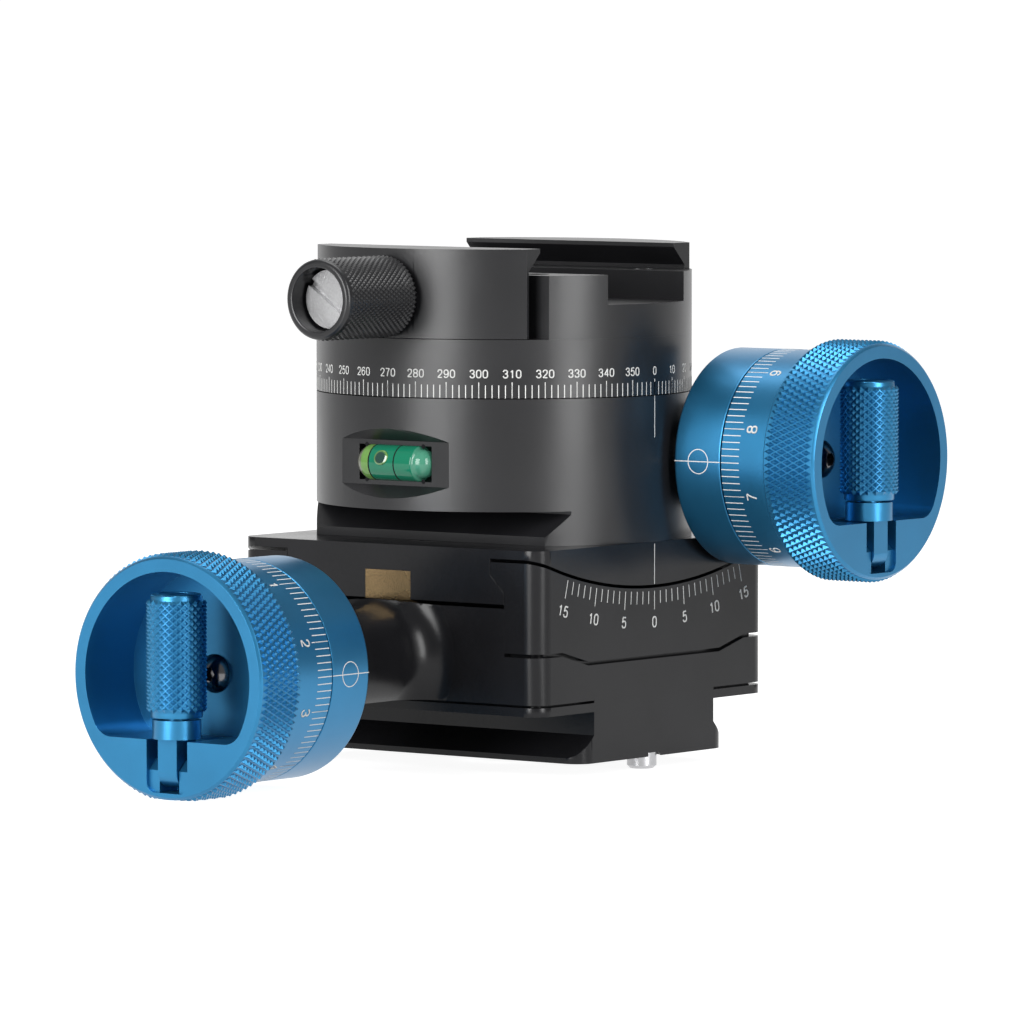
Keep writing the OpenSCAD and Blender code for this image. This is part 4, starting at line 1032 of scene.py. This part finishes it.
def add_floor():
    """A pale floor that runs up in a bend behind the object, as the camera sees it."""
    studio = settings("head_studio")
    reach, bend = studio.floor_size, studio.floor_bend
    shape = bmesh.new()
    profile = [(-reach, 0.0)]
    for step in range(FLOOR_STEPS + 1):
        angle = math.pi / 2 * step / FLOOR_STEPS
        profile.append((reach + bend * math.sin(angle), bend * (1 - math.cos(angle))))
    profile.append((reach + bend, reach))
    line = [shape.verts.new((-reach, y, z)) for y, z in profile]
    edges = [shape.edges.new(pair) for pair in zip(line, line[1:])]
    made = bmesh.ops.extrude_edge_only(shape, edges=edges)["geom"]
    far = [item for item in made if isinstance(item, bmesh.types.BMVert)]
    bmesh.ops.translate(shape, vec=(2 * reach, 0, 0), verts=far)
    bmesh.ops.recalc_face_normals(shape, faces=shape.faces)
    put = Matrix.Translation((0, 0, CAD_LOW.z)) @ Matrix.Rotation(-studio.azimuth, 4, "Z")
    bmesh.ops.transform(shape, matrix=put, verts=shape.verts)
    mesh = bpy.data.meshes.new("floor")
    shape.to_mesh(mesh)
    shape.free()
    mesh.materials.append(floor_finish())
    floor = bpy.data.objects.new("floor", mesh)
    bpy.context.collection.objects.link(floor)


def add_camera():
    """The camera at the photograph's viewing angle."""
    studio = settings("head_studio")
    turn, lift = studio.azimuth, studio.elevation
    ahead = Vector((math.sin(turn) * math.cos(lift), math.cos(turn) * math.cos(lift),
                    -math.sin(lift)))
    right = Vector((math.cos(turn), -math.sin(turn), 0))
    target = right * studio.target_right + Vector((0, 0, studio.target_height))
    lens = bpy.data.cameras.new("camera")
    lens.sensor_width = SENSOR_WIDTH
    lens.lens = studio.lens
    camera = bpy.data.objects.new("camera", lens)
    bpy.context.collection.objects.link(camera)
    camera.location = target - ahead * studio.distance
    camera.rotation_euler = ahead.to_track_quat("-Z", "Y").to_euler()
    bpy.context.scene.camera = camera


def white_surround():
    """A soft even light from all sides."""
    world = bpy.data.worlds.new("white_surround")
    world.use_nodes = True
    back = world.node_tree.nodes["Background"]
    set_inputs(back, Color=WHITE, Strength=settings("head_studio").surround)
    bpy.context.scene.world = world


def soft_light(name, angle, lift, size, power):
    """A soft light at an angle to the right of the camera and a lift over the floor."""
    studio = settings("head_studio")
    middle = Vector((0, 0, studio.target_height))
    to_camera = Vector((-math.sin(studio.azimuth), -math.cos(studio.azimuth), 0))
    lamp = bpy.data.lights.new(name, "AREA")
    lamp.shape = "RECTANGLE"
    lamp.size, lamp.size_y = size
    lamp.energy = power
    light = bpy.data.objects.new(name, lamp)
    bpy.context.collection.objects.link(light)
    aside = Matrix.Rotation(angle, 3, "Z") @ to_camera
    toward = aside * math.cos(lift) + Vector((0, 0, math.sin(lift)))
    light.location = middle + toward * studio.light_distance
    light.rotation_euler = (-toward).to_track_quat("-Z", "Y").to_euler()


class HEAD_OT_add_stage(Operator):
    """Builds the floor, the soft lights, the white surround and the camera"""

    bl_idname = "head.add_stage"
    bl_label = "Add Stage"

    def execute(self, context):
        studio = settings("head_studio")
        bpy.context.scene.view_settings.view_transform = "Standard"
        add_floor()
        white_surround()
        add_camera()
        strip = (studio.strip_width, studio.strip_height)
        wide_strip = (studio.left_width, studio.strip_height)
        soft_light("left_strip", studio.left_angle, studio.strip_lift, wide_strip, studio.left_power)
        soft_light("right_strip", studio.right_angle, studio.strip_lift, strip, studio.right_power)
        soft_light("top_softbox", math.pi, studio.top_lift, TOP_SIZE, studio.top_power)
        return {"FINISHED"}


class HEAD_PT_panel(Panel):
    """Lists the steps that dress the head"""

    bl_label = "Geared Pan Tilt Head"
    bl_idname = "HEAD_PT_panel"
    bl_space_type = "VIEW_3D"
    bl_region_type = "UI"
    bl_category = "Head"

    def draw(self, context):
        for step in STEPS:
            self.layout.operator(step.bl_idname)


GROUPS = {
    "head_colours": HeadColours,
    "head_knurls": KnurlSizes,
    "head_scales": ScaleSizes,
    "head_level": LevelSizes,
    "head_springs": SpringSizes,
    "head_edges": EdgeSizes,
    "head_studio": StudioSizes,
}
STEPS = (
    HEAD_OT_finish_parts,
    HEAD_OT_add_knurls,
    HEAD_OT_add_pan_scale,
    HEAD_OT_add_tilt_scale,
    HEAD_OT_add_knob_scales,
    HEAD_OT_add_level,
    HEAD_OT_add_springs,
    HEAD_OT_add_stage,
)


def register():
    for name, group in GROUPS.items():
        bpy.utils.register_class(group)
        setattr(bpy.types.Scene, name, PointerProperty(type=group))
    for step in STEPS:
        bpy.utils.register_class(step)
    bpy.utils.register_class(HEAD_PT_panel)


def unregister():
    bpy.utils.unregister_class(HEAD_PT_panel)
    for step in reversed(STEPS):
        bpy.utils.unregister_class(step)
    for name, group in reversed(list(GROUPS.items())):
        delattr(bpy.types.Scene, name)
        bpy.utils.unregister_class(group)


def main():
    register()
    bpy.ops.head.finish_parts()
    bpy.ops.head.add_knurls()
    bpy.ops.head.add_pan_scale()
    bpy.ops.head.add_tilt_scale()
    bpy.ops.head.add_knob_scales()
    bpy.ops.head.add_level()
    bpy.ops.head.add_springs()
    bpy.ops.head.add_stage()


if __name__ == "__main__":
    main()
